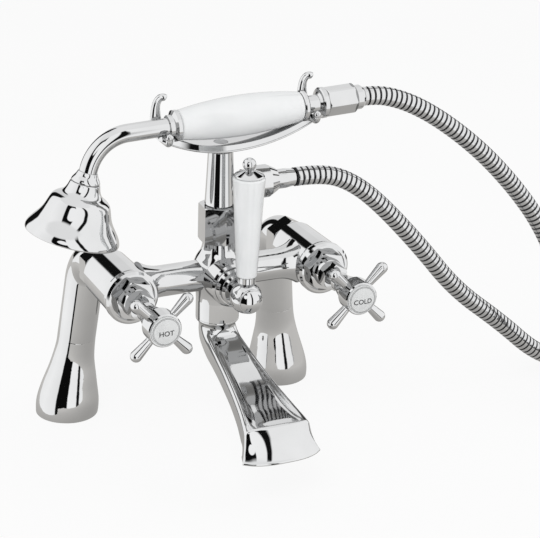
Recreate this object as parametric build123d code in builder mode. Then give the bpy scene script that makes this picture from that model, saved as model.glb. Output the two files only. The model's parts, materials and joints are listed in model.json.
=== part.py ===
from build123d import *
import os
from math import asin, cos, pi, radians, sin, sqrt, tan

# Bath shower mixer for a bath deck. Millimetres, +Z up, the deck at Z = 0.
# The origin lies on the deck midway between the two inlet legs. The hot side is -X,
# the cold side is +X, and the spout, handles and lever face -Y.

# Main layout
tap_spacing = 180.0
valve_inset = 14.0
valve_height = 133.0
bar_reach = 80.0

# Clearances and the overrun of every cut
cut_over = 1.0
seat_gap = 0.3
running_gap = 0.05
thread_gap = 0.05
disc_gap = 0.1

# Inlet legs
leg_radius = 14.5
leg_bore = 8.5
foot_radius = 23.9
flare_height = 64.0
elbow_radius = 23.0
elbow_lean = 11.0
leg_end = 33.0
# Height and swell of the foot's sections, as shares of the flare
foot_flare_shares = (
    (0.0, 0.95),
    (0.04, 1.0),
    (0.13, 1.0),
    (0.29, 0.83),
    (0.45, 0.57),
    (0.64, 0.27),
    (0.82, 0.07),
    (1.0, 0.0),
)
inlet_thread_radius = 12.06
inlet_thread_depth = 15.0
foot_washer_radius = 20.5
foot_washer_bore = 14.4
foot_washer_thickness = 2.0

# Union between leg and body
tail_radius = 10.4
tail_length = 4.0
tail_flange_radius = 12.4
tail_flange_length = 2.5
union_washer_thickness = 2.0
union_nut_flats = 30.0
union_nut_length = 13.0
union_lip = 3.4
union_thread_radius = 12.9
nut_chamfer = 1.6

# Mixer body
bar_radius = 11.5
bar_flare_inset = 14.0
bar_flare_length = 16.0
bar_flare_radius = 16.5
barrel_back_radius = 16.2
barrel_mid_radius = 18.3
barrel_front_radius = 19.3
barrel_front_ahead = 17.0
barrel_shoulder = 3.0
barrel_round = 1.6
core_radius = 19.5
core_top_radius = 16.2
core_top_rise = 13.0
lower_barrel_top_drop = 20.0
lower_barrel_radius = 16.0
lower_barrel_bottom_drop = 34.5
top_boss_radius = 11.9
top_boss_rise = 26.0
spigot_rise = 38.0
waterway_radius = 6.5
boss_radius = 16.5
boss_front_ahead = 28.0
cartridge_bore = 10.45
cartridge_seat_behind = 10.0
inlet_bore = 7.5
diverter_bore = 10.2
diverter_seat_ahead = 4.0
spout_bore = 9.5
spout_socket_radius = 12.2
spout_socket_depth = 14.0

# Valve bezel and headwork, measured forward of the legs
bezel_radius = 20.0
bezel_thickness = 6.0
bezel_recess_radius = 16.8
bezel_recess_depth = 2.4
headwork_shoulder_radius = 13.9
headwork_hex_flats = 27.0
headwork_hex_length = 8.0
headwork_collar_radius = 11.2
headwork_collar_length = 4.5
gland_flats = 18.0
gland_length = 8.5
disc_chamber_radius = 8.65
window_radius = 2.6
disc_radius = 8.3
disc_thickness = 2.8
disc_port_radius = 2.1
disc_port_offset = 4.4
spindle_radius = 4.0
dog_radius = 7.6
dog_length = 2.5
ring_groove_radius = 12.6
ring_groove_depth = 2.3
o_ring_wire = 1.05

# Cross handles
handle_back_ahead = 47.0
handle_neck_radius = 7.2
handle_neck_length = 6.0
handle_hub_radius = 12.4
handle_hub_length = 14.5
handle_length = 36.0
handle_arm_setback = 7.0
arm_root_radius = 3.1
arm_tip_radius = 4.3
arm_root_reach = 9.0
arm_waist_reach = 13.0
arm_reach = 31.0
spindle_hold = 15.0
index_radius = 10.9
index_recess = 2.2
index_thickness = 3.4
index_crown = 0.9
handle_screw_radius = 2.0
handle_screw_head_radius = 4.1
handle_screw_head = 2.6
handle_screw_hold = 5.0
screw_pocket_depth = 13.0

# Diverter
flange_radius = 15.0
flange_thickness = 5.0
flange_step_radius = 12.4
flange_step = 4.0
diverter_shaft_radius = 5.0
rotor_radius = 9.9
rotor_length = 15.0
rotor_port = 6.0
lever_ahead = 49.5
lever_ball_radius = 11.8
lever_neck_radius = 7.6
diverter_shaft_setback = 2.5
hub_cap_radius = 8.6
hub_cap_ahead = 8.5
hub_cap_rise = 5.2
hub_cap_rim = 1.4
hub_screw_radius = 2.4
hub_screw_head_radius = 4.0
hub_screw_head = 2.2
lever_collar_radius = 6.6
lever_collar_rise = 10.6
lever_collar_length = 5.8
lever_grip_length = 75.6
lever_grip_base_radius = 7.4
lever_grip_top_radius = 11.7
lever_grip_round = 1.6
lever_rod_radius = 2.5
lever_rod_rise = 5.0
lever_cap_radius = 11.0
lever_cap_rim = 1.6
lever_cap_height = 4.4
lever_stem_radius = 2.4
finial_radius = 4.8
finial_rise = 4.6

# Bath spout
spout_neck_radius = 13.5
spout_neck_drop = 38.5
spout_slope = 16.7
spout_bend_radius = 16.0
spout_wall = 3.0
# Each section of the spout: distance past the bend, width, depth and corner radius
spout_sections = (
    (0.0, 28.0, 18.8, 6.5),
    (30.0, 30.8, 18.3, 5.5),
    (60.0, 36.8, 18.3, 5.5),
    (80.0, 43.0, 18.5, 5.5),
    (97.0, 49.5, 18.8, 5.0),
)
spout_bend_width = 27.5
spout_bend_depth = 23.0
spout_bend_corner = 9.5
spout_mid_turn_share = 0.5
spout_collar_lip = 2.0
nose_drop = 103.0
nose_width = 57.0
nose_front_ahead = 120.0
nose_back_ahead = 90.0
nose_corner = 7.0
nose_top_width = 47.5
nose_top_length = 28.0
nose_top_corner = 5.0
nose_top_overhang = 1.0
nose_top_drop = 0.2
mouth_depth = 24.0
spout_tail_radius = 11.9
spout_tail_length = 12.0
spout_ring_inset = 4.0
spout_ring_wire = 0.9
grub_radius = 2.0
grub_length = 3.6

# Cradle
cradle_nut_flats = 27.0
cradle_nut_length = 27.5
cradle_nut_turn = 26.0
cradle_thread_radius = 10.6
column_base_radius = 10.9
column_top_radius = 9.1
column_neck_radius = 8.3
column_rise = 96.0
column_shoulder_rise = 73.0
column_neck_drop = 1.0
column_tail_radius = 9.0
column_tail_flange = 2.5
column_bore = 5.5
cradle_washer_thickness = 2.0
arm_low_x = 3.0
arm_seat_rise = 0.6
arm_left_reach = 50.0
arm_right_reach = 73.0
arm_left_radius = 115.0
arm_right_radius = 185.0
arm_thickness = 4.8
arm_half_width = 9.5
arm_end_half_width = 3.4
cradle_screw_radius = 2.9
cradle_screw_head_radius = 5.2
cradle_screw_head = 2.4
cradle_screw_length = 16.0
outlet_rise = 67.0
outlet_radius = 8.2
outlet_reach = 35.0
outlet_collar_radius = 10.48
outlet_bore = 4.5
outlet_thread_radius = 10.48
outlet_thread_start = 17.0
prong_radius = 2.6
prong_tip_radius = 3.0
fork_left = 44.4
fork_bottom = 9.5
fork_right = 71.0
fork_back = 11.6
fork_front = 11.2
fork_tip_back = 10.2
fork_back_rise = 20.5
fork_mid_rise = 6.0
fork_front_drop = 4.4
fork_front_radius = 3.6
fork_back_radius = 5.2
fork_curl_radius = 20.0

# Handset, along its own axis, which tilts up towards the hose
handset_rise = 119.1
handset_tilt = 2.0
pipe_radius = 6.5
pipe_bore = 4.8
pipe_bend_radius = 31.0
pipe_corner = 94.8
bell_drop = 73.0
bell_start = 24.9
grip_left = 33.5
grip_right = 62.0
grip_mid = 20.0
grip_end_radius = 10.8
grip_mid_radius = 14.8
grip_bore = 6.9
ferrule_radius = 11.2
ferrule_neck_radius = 8.2
ferrule_length = 8.2
ferrule_neck = 3.2
end_ring_radius = 11.2
end_ring_thickness = 4.0
inlet_neck_radius = 6.6
inlet_flange_start = 77.5
inlet_flange_radius = 11.3
inlet_flange_thickness = 4.6
handset_tail_length = 10.0
handset_nut_radius = 10.9
handset_nut_end_radius = 9.0
handset_nut_flats = 19.6
handset_nut_flat_length = 22.0
handset_nut_length = 30.0
handset_thread_radius = 7.6

# Bell-shaped rose, along its own axis
bell_collar_top = 7.2
bell_collar_radius = 10.3
bell_collar_length = 7.8
bell_neck_radius = 10.6
bell_neck_end_radius = 13.8
bell_neck_end = 16.9
bell_shoulder_radius = 20.6
bell_shoulder = 21.6
bell_waist_radius = 25.0
bell_waist = 32.0
bell_rim_radius = 34.0
bell_rim = 45.5
bell_flare = 38.0
bell_flare_radius = 30.0
bell_spigot_radius = 7.0
bell_spigot_length = 4.4
pipe_into_collar = 4.0
bell_lip = 48.5
bell_wall = 1.5
rose_plate_thickness = 2.0
rose_plate_inset = 1.5
rose_hole_radius = 0.9
rose_hole_rings = 3
rose_seal_thickness = 1.2
rose_seal_width = 2.2

# Hose and its end fittings
hose_radius = 7.0
hose_bore = 4.2
rib_pitch = 7.0
rib_height = 0.9
# Where each ring of a rib lies along its pitch, and how far it sinks from the crest
rib_shares = ((0.0, 1.0), (0.25, 0.0), (0.5, 0.0), (0.75, 1.0))
lower_ribbed = 300.0
upper_ribbed = 224.0
hose_lay = 7.2
hose_tail_radius = 4.15
hose_tail_bore = 3.0
lower_tail = 6.5
upper_tail = 11.5
run_share = 0.45
# The hose's lower stretch from the outlet to the deck: its corners' X, and height as a share
lower_reaches = (80.5, 102.5, 128.0, 168.0, 203.0, 247.0, 282.0, 310.0, 346.0)
lower_height_shares = (1.0, 0.9637, 0.8651, 0.6421, 0.4191, 0.2376, 0.069, 0.0104, 0.0)
# The coil on the deck: its start, half turns, and the height that each half turn ends at
coil_x = 382.0
coil_turns = ((62.0, 7.2), (69.4, 26.0), (76.8, 7.2))
# The hose's upper stretch from the coil to the handset: its corners' X, their Y ahead of
# the bar while it rises off the deck, and height as a share
upper_reaches = (
    *(349.5, 319.0, 295.5, 283.5, 288.0, 291.5, 289.0),
    *(273.5, 250.5, 222.0, 191.0, 162.0, 138.1),
)
upper_aheads = (138.8, 126.3, 103.0, 72.5, 42.0, 19.0, 4.0, 0, 0, 0, 0, 0, 0)
upper_height_shares = (
    *(0.0, 0.0176, 0.0543, 0.1094, 0.187, 0.2891, 0.4116),
    *(0.5341, 0.6525, 0.775, 0.8808, 0.96, 1.0033),
)
upper_straight = 16.0
hose_start = 104.5
coil_samples = 240
coil_near_share = 0.2
hose_ferrule_length = 14.8
hose_ferrule_radius = 7.2
hose_ferrule_neck = 6.2
hose_washer_thickness = 2.0
outlet_nut_start = 25.2
outlet_nut_length = 19.0
outlet_nut_flats = 23.0
outlet_nut_end_radius = 8.4
outlet_nut_cone = 7.0
outlet_nut_round = 12.1
hose_flange_length = 2.4
hose_shank_radius = 5.2
handset_nut_lip_radius = 7.9

os.makedirs("parts", exist_ok=True)

# Places along the bar, worked out from the spacing of the bath's two tap holes
valve_spacing = tap_spacing - 2 * valve_inset
bar_flare_end = valve_spacing / 2 - bar_flare_inset
bar_flare_start = bar_flare_end - bar_flare_length

# Heights over the deck, worked out from the valves' height
lower_barrel_top = valve_height - lower_barrel_top_drop
lower_barrel_bottom = valve_height - lower_barrel_bottom_drop
core_top = valve_height + core_top_rise
top_boss_top = valve_height + top_boss_rise
spigot_top = valve_height + spigot_rise
lever_collar_base = valve_height + lever_collar_rise
lever_grip_base = lever_collar_base + lever_collar_length
lever_grip_top = lever_grip_base + lever_grip_length
lever_rod_start = valve_height + lever_rod_rise
spout_neck_height = valve_height - spout_neck_drop
nose_height = valve_height - nose_drop
column_top = valve_height + column_rise
column_shoulder = valve_height + column_shoulder_rise
column_neck = column_top - column_neck_drop
arm_low_z = column_top + arm_seat_rise
outlet_height = valve_height + outlet_rise
handset_height = valve_height + handset_rise

# Reaches forward of the legs, worked out from the bar's reach
cartridge_seat = bar_reach - cartridge_seat_behind
diverter_seat = bar_reach + diverter_seat_ahead
barrel_front = bar_reach + barrel_front_ahead
boss_front = bar_reach + boss_front_ahead
handle_hub_back = bar_reach + handle_back_ahead
handle_front = handle_hub_back + handle_length
handle_hub_start = handle_front - handle_hub_length
handle_arm_plane = handle_front - handle_arm_setback
spindle_end = handle_hub_back + spindle_hold
handle_screw_start = spindle_end - handle_screw_hold
screw_pocket_floor = handle_front - screw_pocket_depth
lever_plane = bar_reach + lever_ahead
diverter_shaft_end = lever_plane - diverter_shaft_setback
hub_cap_seat = lever_plane + hub_cap_ahead
nose_front = bar_reach + nose_front_ahead
nose_back = bar_reach + nose_back_ahead

# Planes and places that several pieces share
bar_y = -bar_reach
bell_angle = radians(bell_drop)
slope = radians(spout_slope)
deck = Plane.XY
upright = Plane(origin=(0, bar_y, 0), x_dir=(0, 0, 1), z_dir=(0, -1, 0))
crosswise = Plane(origin=(0, bar_y, valve_height), x_dir=(1, 0, 0), z_dir=(0, -1, 0))
forward = Plane(origin=(0, 0, valve_height), x_dir=(0, -1, 0), z_dir=(1, 0, 0))
lever_line = Plane(origin=(0, -lever_plane, 0), x_dir=(0, 0, 1), z_dir=(0, -1, 0))
tilt = radians(handset_tilt)
handset = Plane(
    origin=(0, bar_y, handset_height),
    x_dir=(cos(tilt), 0, sin(tilt)),
    z_dir=(0, -1, 0),
)
bell = Plane(
    origin=handset.from_local_coords(
        Vector(-pipe_corner - bell_start * cos(bell_angle), -bell_start * sin(bell_angle), 0)
    ),
    x_dir=handset.x_dir * -cos(bell_angle) - handset.y_dir * sin(bell_angle),
    z_dir=(0, -1, 0),
)


def axis_of(plane):
    """The line that a turned piece on this plane spins about."""
    return Axis(plane.origin, plane.x_dir)


def profile(plane, *points):
    """A closed outline of straight sides: distance along the axis, then radius."""
    with BuildSketch(plane) as outline:
        with BuildLine():
            Polyline(*points, close=True)
        make_face()
    return outline.sketch


def across(plane, along):
    """The plane that a turned piece on this plane is cut square by."""
    return Plane(
        origin=plane.origin + plane.x_dir * along,
        x_dir=plane.y_dir,
        z_dir=plane.x_dir,
    )


def finish(piece, label):
    """Names a finished piece and writes it."""
    piece.part.label = label
    export_step(piece.part, f"parts/{label}.step")


def valve_plane(side):
    return Plane(origin=(side * valve_spacing / 2, 0, valve_height), x_dir=(0, -1, 0), z_dir=(1, 0, 0))


# Inlet legs, mirrored left and right
for side, name in ((-1, "hot"), (1, "cold")):
    foot_point = Vector(side * tap_spacing / 2, 0, 0)
    elbow_point = Vector(side * valve_spacing / 2, -elbow_lean, valve_height)
    end_point = Vector(side * valve_spacing / 2, -leg_end, valve_height)
    lean = (elbow_point - foot_point).normalized()
    flare_top = foot_point + lean * (flare_height / lean.Z)
    valve = valve_plane(side)
    with BuildPart() as leg:
        for height_share, swell_share in foot_flare_shares:
            centre = foot_point + lean * (height_share * flare_height / lean.Z)
            square_to = deck.z_dir if height_share == 0 else lean
            with BuildSketch(Plane(origin=centre, x_dir=(1, 0, 0), z_dir=square_to)):
                Circle(leg_radius + swell_share * (foot_radius - leg_radius))
        loft()
        with BuildLine() as leg_line:
            FilletPolyline(flare_top, elbow_point, end_point, radius=elbow_radius)
        with BuildSketch(Plane(origin=flare_top, x_dir=(1, 0, 0), z_dir=lean)):
            Circle(leg_radius)
        sweep(path=leg_line.line)
        revolve(
            profile(
                valve,
                (leg_end, 0),
                (leg_end, tail_radius),
                (leg_end + tail_length, tail_radius),
                (leg_end + tail_length, tail_flange_radius),
                (leg_end + tail_length + tail_flange_length, tail_flange_radius),
                (leg_end + tail_length + tail_flange_length, 0),
            ),
            axis=axis_of(valve),
        )
        bore_end = Vector(end_point.X, -leg_end - tail_length - tail_flange_length - cut_over, valve_height)
        with BuildLine() as bore_line:
            FilletPolyline(foot_point, elbow_point, bore_end, radius=elbow_radius)
        with BuildSketch(Plane(origin=foot_point, x_dir=(1, 0, 0), z_dir=lean)):
            Circle(leg_bore)
        sweep(path=bore_line.line, mode=Mode.SUBTRACT)
        with BuildSketch(Plane(origin=foot_point)):
            Circle(inlet_thread_radius)
        extrude(amount=inlet_thread_depth, mode=Mode.SUBTRACT)
        with BuildSketch(Plane(origin=foot_point)):
            Circle(foot_washer_radius)
            Circle(foot_washer_bore - seat_gap, mode=Mode.SUBTRACT)
        extrude(amount=foot_washer_thickness, mode=Mode.SUBTRACT)
    finish(leg, f"{name}_leg")

with BuildPart() as foot_washers:
    with BuildSketch(deck):
        with Locations((-tap_spacing / 2, 0), (tap_spacing / 2, 0)):
            Circle(foot_washer_radius - seat_gap)
            Circle(foot_washer_bore, mode=Mode.SUBTRACT)
    extrude(amount=foot_washer_thickness)
finish(foot_washers, "foot_washers")

# Unions between legs and body
nut_start = leg_end + seat_gap
nut_end = nut_start + union_nut_length
flange_end = leg_end + tail_length + tail_flange_length
body_tail_end = flange_end + union_washer_thickness

with BuildPart() as union_nuts:
    for side in (-1, 1):
        valve = valve_plane(side)
        with BuildSketch(across(valve, nut_start)):
            RegularPolygon(union_nut_flats / 2, 6, major_radius=False)
        extrude(amount=union_nut_length)
    for side in (-1, 1):
        valve = valve_plane(side)
        corner = union_nut_flats / sqrt(3)
        revolve(
            profile(
                valve,
                (nut_start - cut_over, corner - nut_chamfer - cut_over),
                (nut_start + nut_chamfer, corner + nut_chamfer),
                (nut_start - cut_over, corner + nut_chamfer),
            ),
            axis=axis_of(valve),
            mode=Mode.SUBTRACT,
        )
        revolve(
            profile(
                valve,
                (nut_end + cut_over, corner - nut_chamfer - cut_over),
                (nut_end - nut_chamfer, corner + nut_chamfer),
                (nut_end + cut_over, corner + nut_chamfer),
            ),
            axis=axis_of(valve),
            mode=Mode.SUBTRACT,
        )
        revolve(
            profile(
                valve,
                (nut_start - cut_over, 0),
                (nut_start - cut_over, tail_radius + thread_gap),
                (nut_start + union_lip, tail_radius + thread_gap),
                (nut_start + union_lip, union_thread_radius + thread_gap),
                (nut_end + cut_over, union_thread_radius + thread_gap),
                (nut_end + cut_over, 0),
            ),
            axis=axis_of(valve),
            mode=Mode.SUBTRACT,
        )
finish(union_nuts, "leg_union_nuts")

with BuildPart() as union_washers:
    for side in (-1, 1):
        with BuildSketch(across(valve_plane(side), flange_end)):
            Circle(tail_flange_radius)
            Circle(leg_bore, mode=Mode.SUBTRACT)
        extrude(amount=union_washer_thickness)
finish(union_washers, "leg_union_washers")

# Mixer body, one casting with its waterways
barrel_back = nut_end + seat_gap
with BuildPart() as body:
    with BuildSketch(crosswise):
        with BuildLine():
            Line((-bar_flare_start, bar_radius), (bar_flare_start, bar_radius))
            TangentArc(
                (bar_flare_start, bar_radius), (bar_flare_end, bar_flare_radius), tangent=(1, 0)
            )
            TangentArc(
                (-bar_flare_start, bar_radius), (-bar_flare_end, bar_flare_radius), tangent=(-1, 0)
            )
            Polyline(
                (bar_flare_end, bar_flare_radius),
                (bar_flare_end, 0),
                (-bar_flare_end, 0),
                (-bar_flare_end, bar_flare_radius),
            )
        make_face()
    revolve(axis=axis_of(crosswise))
    with BuildSketch(upright):
        with BuildLine():
            Line((lower_barrel_bottom, lower_barrel_radius), (lower_barrel_top, lower_barrel_radius))
            Spline(
                (lower_barrel_top, lower_barrel_radius),
                (valve_height, core_radius),
                (core_top, core_top_radius),
                (top_boss_top, top_boss_radius),
                tangents=((1, 0), (1, 0)),
            )
            Polyline(
                (top_boss_top, top_boss_radius),
                (top_boss_top, cradle_thread_radius),
                (spigot_top, cradle_thread_radius),
                (spigot_top, 0),
                (lower_barrel_bottom, 0),
                (lower_barrel_bottom, lower_barrel_radius),
            )
        make_face()
    revolve(axis=axis_of(upright))
    revolve(
        profile(
            forward,
            (bar_reach, 0),
            (bar_reach, boss_radius),
            (boss_front - barrel_round, boss_radius),
            (boss_front, boss_radius - barrel_round),
            (boss_front, 0),
        ),
        axis=axis_of(forward),
    )
    for side in (-1, 1):
        valve = valve_plane(side)
        revolve(
            profile(
                valve,
                (body_tail_end, 0),
                (body_tail_end, union_thread_radius),
                (barrel_back, union_thread_radius),
                (barrel_back, barrel_back_radius - barrel_round),
                (barrel_back + barrel_round, barrel_back_radius),
                (barrel_back + barrel_round + barrel_shoulder, barrel_mid_radius),
                (barrel_front - barrel_round, barrel_front_radius),
                (barrel_front, barrel_front_radius - barrel_round / 2),
                (barrel_front, 0),
            ),
            axis=axis_of(valve),
        )
    for side in (-1, 1):
        valve = valve_plane(side)
        revolve(
            profile(
                valve,
                (body_tail_end - cut_over, 0),
                (body_tail_end - cut_over, inlet_bore),
                (cartridge_seat, inlet_bore),
                (cartridge_seat, cartridge_bore),
                (barrel_front - ring_groove_depth, cartridge_bore),
                (barrel_front - ring_groove_depth, ring_groove_radius),
                (barrel_front + cut_over, ring_groove_radius),
                (barrel_front + cut_over, 0),
            ),
            axis=axis_of(valve),
            mode=Mode.SUBTRACT,
        )
    with BuildSketch(across(crosswise, -valve_spacing / 2)):
        Circle(waterway_radius)
    extrude(amount=valve_spacing, mode=Mode.SUBTRACT)
    revolve(
        profile(
            upright,
            (lower_barrel_bottom - cut_over, 0),
            (lower_barrel_bottom - cut_over, spout_socket_radius),
            (lower_barrel_bottom + spout_socket_depth, spout_socket_radius),
            (lower_barrel_bottom + spout_socket_depth, spout_bore),
            (valve_height, spout_bore),
            (valve_height, waterway_radius),
            (spigot_top + cut_over, waterway_radius),
            (spigot_top + cut_over, 0),
        ),
        axis=axis_of(upright),
        mode=Mode.SUBTRACT,
    )
    revolve(
        profile(
            forward,
            (diverter_seat, 0),
            (diverter_seat, diverter_bore),
            (boss_front + cut_over, diverter_bore),
            (boss_front + cut_over, 0),
        ),
        axis=axis_of(forward),
        mode=Mode.SUBTRACT,
    )
    with BuildSketch(Plane(origin=(0, bar_y, lower_barrel_bottom + spout_socket_depth / 2), z_dir=(0, 1, 0))):
        Circle(grub_radius)
    extrude(amount=lower_barrel_radius + cut_over, mode=Mode.SUBTRACT)
finish(body, "mixer_body")

# Valve bezels
bezel_front = barrel_front + bezel_thickness
with BuildPart() as bezels:
    for side in (-1, 1):
        valve = valve_plane(side)
        revolve(
            profile(
                valve,
                (barrel_front, headwork_shoulder_radius + running_gap),
                (barrel_front, bezel_radius - barrel_round / 2),
                (barrel_front + barrel_round / 2, bezel_radius),
                (bezel_front - barrel_round, bezel_radius),
                (bezel_front, bezel_radius - barrel_round),
                (bezel_front, bezel_recess_radius),
                (bezel_front - bezel_recess_depth, bezel_recess_radius),
                (bezel_front - bezel_recess_depth, headwork_shoulder_radius + running_gap),
            ),
            axis=axis_of(valve),
        )
finish(bezels, "valve_bezels")

# Valve headworks, the quarter-turn ceramic discs, spindles and cross handles
hex_start = bezel_front - bezel_recess_depth + disc_gap
hex_end = hex_start + headwork_hex_length
collar_end = hex_end + headwork_collar_length
gland_end = collar_end + gland_length
chamber_end = cartridge_seat + disc_thickness * 2 + disc_gap + dog_length + seat_gap
moving_disc_start = cartridge_seat + disc_thickness + disc_gap
dog_start = moving_disc_start + disc_thickness
for side, name in ((-1, "hot"), (1, "cold")):
    valve = valve_plane(side)
    with BuildPart() as headwork:
        revolve(
            profile(
                valve,
                (cartridge_seat + disc_gap, spindle_radius),
                (cartridge_seat + disc_gap, cartridge_bore - thread_gap),
                (barrel_front - ring_groove_depth, cartridge_bore - thread_gap),
                (barrel_front, cartridge_bore - thread_gap),
                (barrel_front, headwork_shoulder_radius),
                (hex_start, headwork_shoulder_radius),
                (hex_end, headwork_shoulder_radius - barrel_round),
                (hex_end, headwork_collar_radius),
                (collar_end, headwork_collar_radius - barrel_round / 2),
                (collar_end, spindle_radius),
            ),
            axis=axis_of(valve),
        )
        with BuildSketch(across(valve, hex_start)):
            RegularPolygon(headwork_hex_flats / 2, 6, major_radius=False, rotation=15)
        extrude(amount=headwork_hex_length)
        with BuildSketch(across(valve, collar_end - cut_over)):
            RegularPolygon(gland_flats / 2, 6, major_radius=False)
        extrude(amount=gland_length + cut_over)
        hex_corner = headwork_hex_flats / sqrt(3)
        gland_corner = gland_flats / sqrt(3)
        revolve(
            profile(
                valve,
                (hex_end + cut_over, hex_corner - nut_chamfer - cut_over),
                (hex_end - nut_chamfer, hex_corner + nut_chamfer),
                (hex_end + cut_over, hex_corner + nut_chamfer),
            ),
            axis=axis_of(valve),
            mode=Mode.SUBTRACT,
        )
        revolve(
            profile(
                valve,
                (gland_end + cut_over, gland_corner - nut_chamfer - cut_over),
                (gland_end - nut_chamfer, gland_corner + nut_chamfer),
                (gland_end + cut_over, gland_corner + nut_chamfer),
            ),
            axis=axis_of(valve),
            mode=Mode.SUBTRACT,
        )
        revolve(
            profile(
                valve,
                (cartridge_seat - cut_over, 0),
                (cartridge_seat - cut_over, disc_chamber_radius),
                (chamber_end, disc_chamber_radius),
                (chamber_end, spindle_radius + running_gap),
                (gland_end + cut_over, spindle_radius + running_gap),
                (gland_end + cut_over, 0),
            ),
            axis=axis_of(valve),
            mode=Mode.SUBTRACT,
        )
        with BuildSketch(Plane(origin=valve.origin, z_dir=(1, 0, 0), x_dir=valve.x_dir)):
            with Locations((chamber_end - window_radius, 0)):
                Circle(window_radius)
        extrude(amount=cartridge_bore, both=True, mode=Mode.SUBTRACT)
    finish(headwork, f"{name}_headwork")

    with BuildPart() as spindle:
        revolve(
            profile(
                valve,
                (dog_start, 0),
                (dog_start, dog_radius),
                (dog_start + dog_length, dog_radius),
                (dog_start + dog_length, spindle_radius),
                (spindle_end, spindle_radius),
                (spindle_end, handle_screw_radius + running_gap),
                (handle_screw_start, handle_screw_radius + running_gap),
                (handle_screw_start, 0),
            ),
            axis=axis_of(valve),
        )
    finish(spindle, f"{name}_spindle")

    with BuildPart() as moving_disc:
        with BuildSketch(across(valve, moving_disc_start)):
            Circle(disc_radius)
            with PolarLocations(disc_port_offset, 2, start_angle=90):
                Circle(disc_port_radius, mode=Mode.SUBTRACT)
        extrude(amount=disc_thickness)
    finish(moving_disc, f"{name}_moving_disc")

    with BuildPart() as handle:
        revolve(
            profile(
                valve,
                (handle_hub_back, 0),
                (handle_hub_back, handle_neck_radius - barrel_round / 2),
                (handle_hub_back + barrel_round / 2, handle_neck_radius),
                (handle_hub_back + handle_neck_length, handle_neck_radius),
                (handle_hub_start, handle_hub_radius - barrel_round),
                (handle_hub_start + barrel_round, handle_hub_radius),
                (handle_front - barrel_round / 2, handle_hub_radius),
                (handle_front, handle_hub_radius - barrel_round / 2),
                (handle_front, 0),
            ),
            axis=axis_of(valve),
        )
        for quarter in range(4):
            turn = radians(45 + 90 * quarter)
            arm_line = Plane(
                origin=(side * valve_spacing / 2, -handle_arm_plane, valve_height),
                x_dir=(cos(turn), 0, sin(turn)),
                z_dir=(0, -1, 0),
            )
            with BuildSketch(arm_line):
                with BuildLine():
                    Polyline(
                        (arm_reach, 0),
                        (arm_root_reach, 0),
                        (arm_root_reach, arm_root_radius),
                        (arm_waist_reach, arm_root_radius),
                        (arm_reach - arm_tip_radius, arm_tip_radius),
                    )
                    TangentArc(
                        (arm_reach - arm_tip_radius, arm_tip_radius), (arm_reach, 0), tangent=(1, 0)
                    )
                make_face()
            revolve(axis=axis_of(arm_line))
        revolve(
            profile(
                valve,
                (handle_hub_back - cut_over, 0),
                (handle_hub_back - cut_over, spindle_radius + running_gap),
                (spindle_end + seat_gap, spindle_radius + running_gap),
                (spindle_end + seat_gap, handle_screw_radius + running_gap),
                (screw_pocket_floor, handle_screw_radius + running_gap),
                (screw_pocket_floor, handle_screw_head_radius + seat_gap),
                (handle_front - index_recess, handle_screw_head_radius + seat_gap),
                (handle_front - index_recess, index_radius + running_gap),
                (handle_front + cut_over, index_radius + running_gap),
                (handle_front + cut_over, 0),
            ),
            axis=axis_of(valve),
            mode=Mode.SUBTRACT,
        )
    finish(handle, f"{name}_cross_handle")

    with BuildPart() as handle_screw:
        revolve(
            profile(
                valve,
                (handle_screw_start, 0),
                (handle_screw_start, handle_screw_radius),
                (screw_pocket_floor, handle_screw_radius),
                (screw_pocket_floor, handle_screw_head_radius),
                (screw_pocket_floor + handle_screw_head, handle_screw_head_radius),
                (screw_pocket_floor + handle_screw_head, 0),
            ),
            axis=axis_of(valve),
        )
    finish(handle_screw, f"{name}_handle_screw")

    index_back = handle_front - index_recess
    with BuildPart() as index_disc:
        with BuildSketch(valve):
            with BuildLine():
                Polyline(
                    (index_back + index_thickness + index_crown, 0),
                    (index_back, 0),
                    (index_back, index_radius),
                    (index_back + index_thickness, index_radius),
                )
                TangentArc(
                    (index_back + index_thickness + index_crown, 0),
                    (index_back + index_thickness, index_radius),
                    tangent=(0, 1),
                )
            make_face()
        revolve(axis=axis_of(valve))
    finish(index_disc, f"{name}_index_disc")

with BuildPart() as fixed_discs:
    for side in (-1, 1):
        with BuildSketch(across(valve_plane(side), cartridge_seat)):
            Circle(disc_radius)
            with PolarLocations(disc_port_offset, 2):
                Circle(disc_port_radius, mode=Mode.SUBTRACT)
        extrude(amount=disc_thickness)
finish(fixed_discs, "fixed_discs")

with BuildPart() as headwork_rings:
    for side in (-1, 1):
        valve = valve_plane(side)
        with BuildSketch(valve):
            with Locations((barrel_front - ring_groove_depth / 2, cartridge_bore + o_ring_wire)):
                Circle(o_ring_wire)
        revolve(axis=axis_of(valve))
finish(headwork_rings, "headwork_orings")

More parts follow.
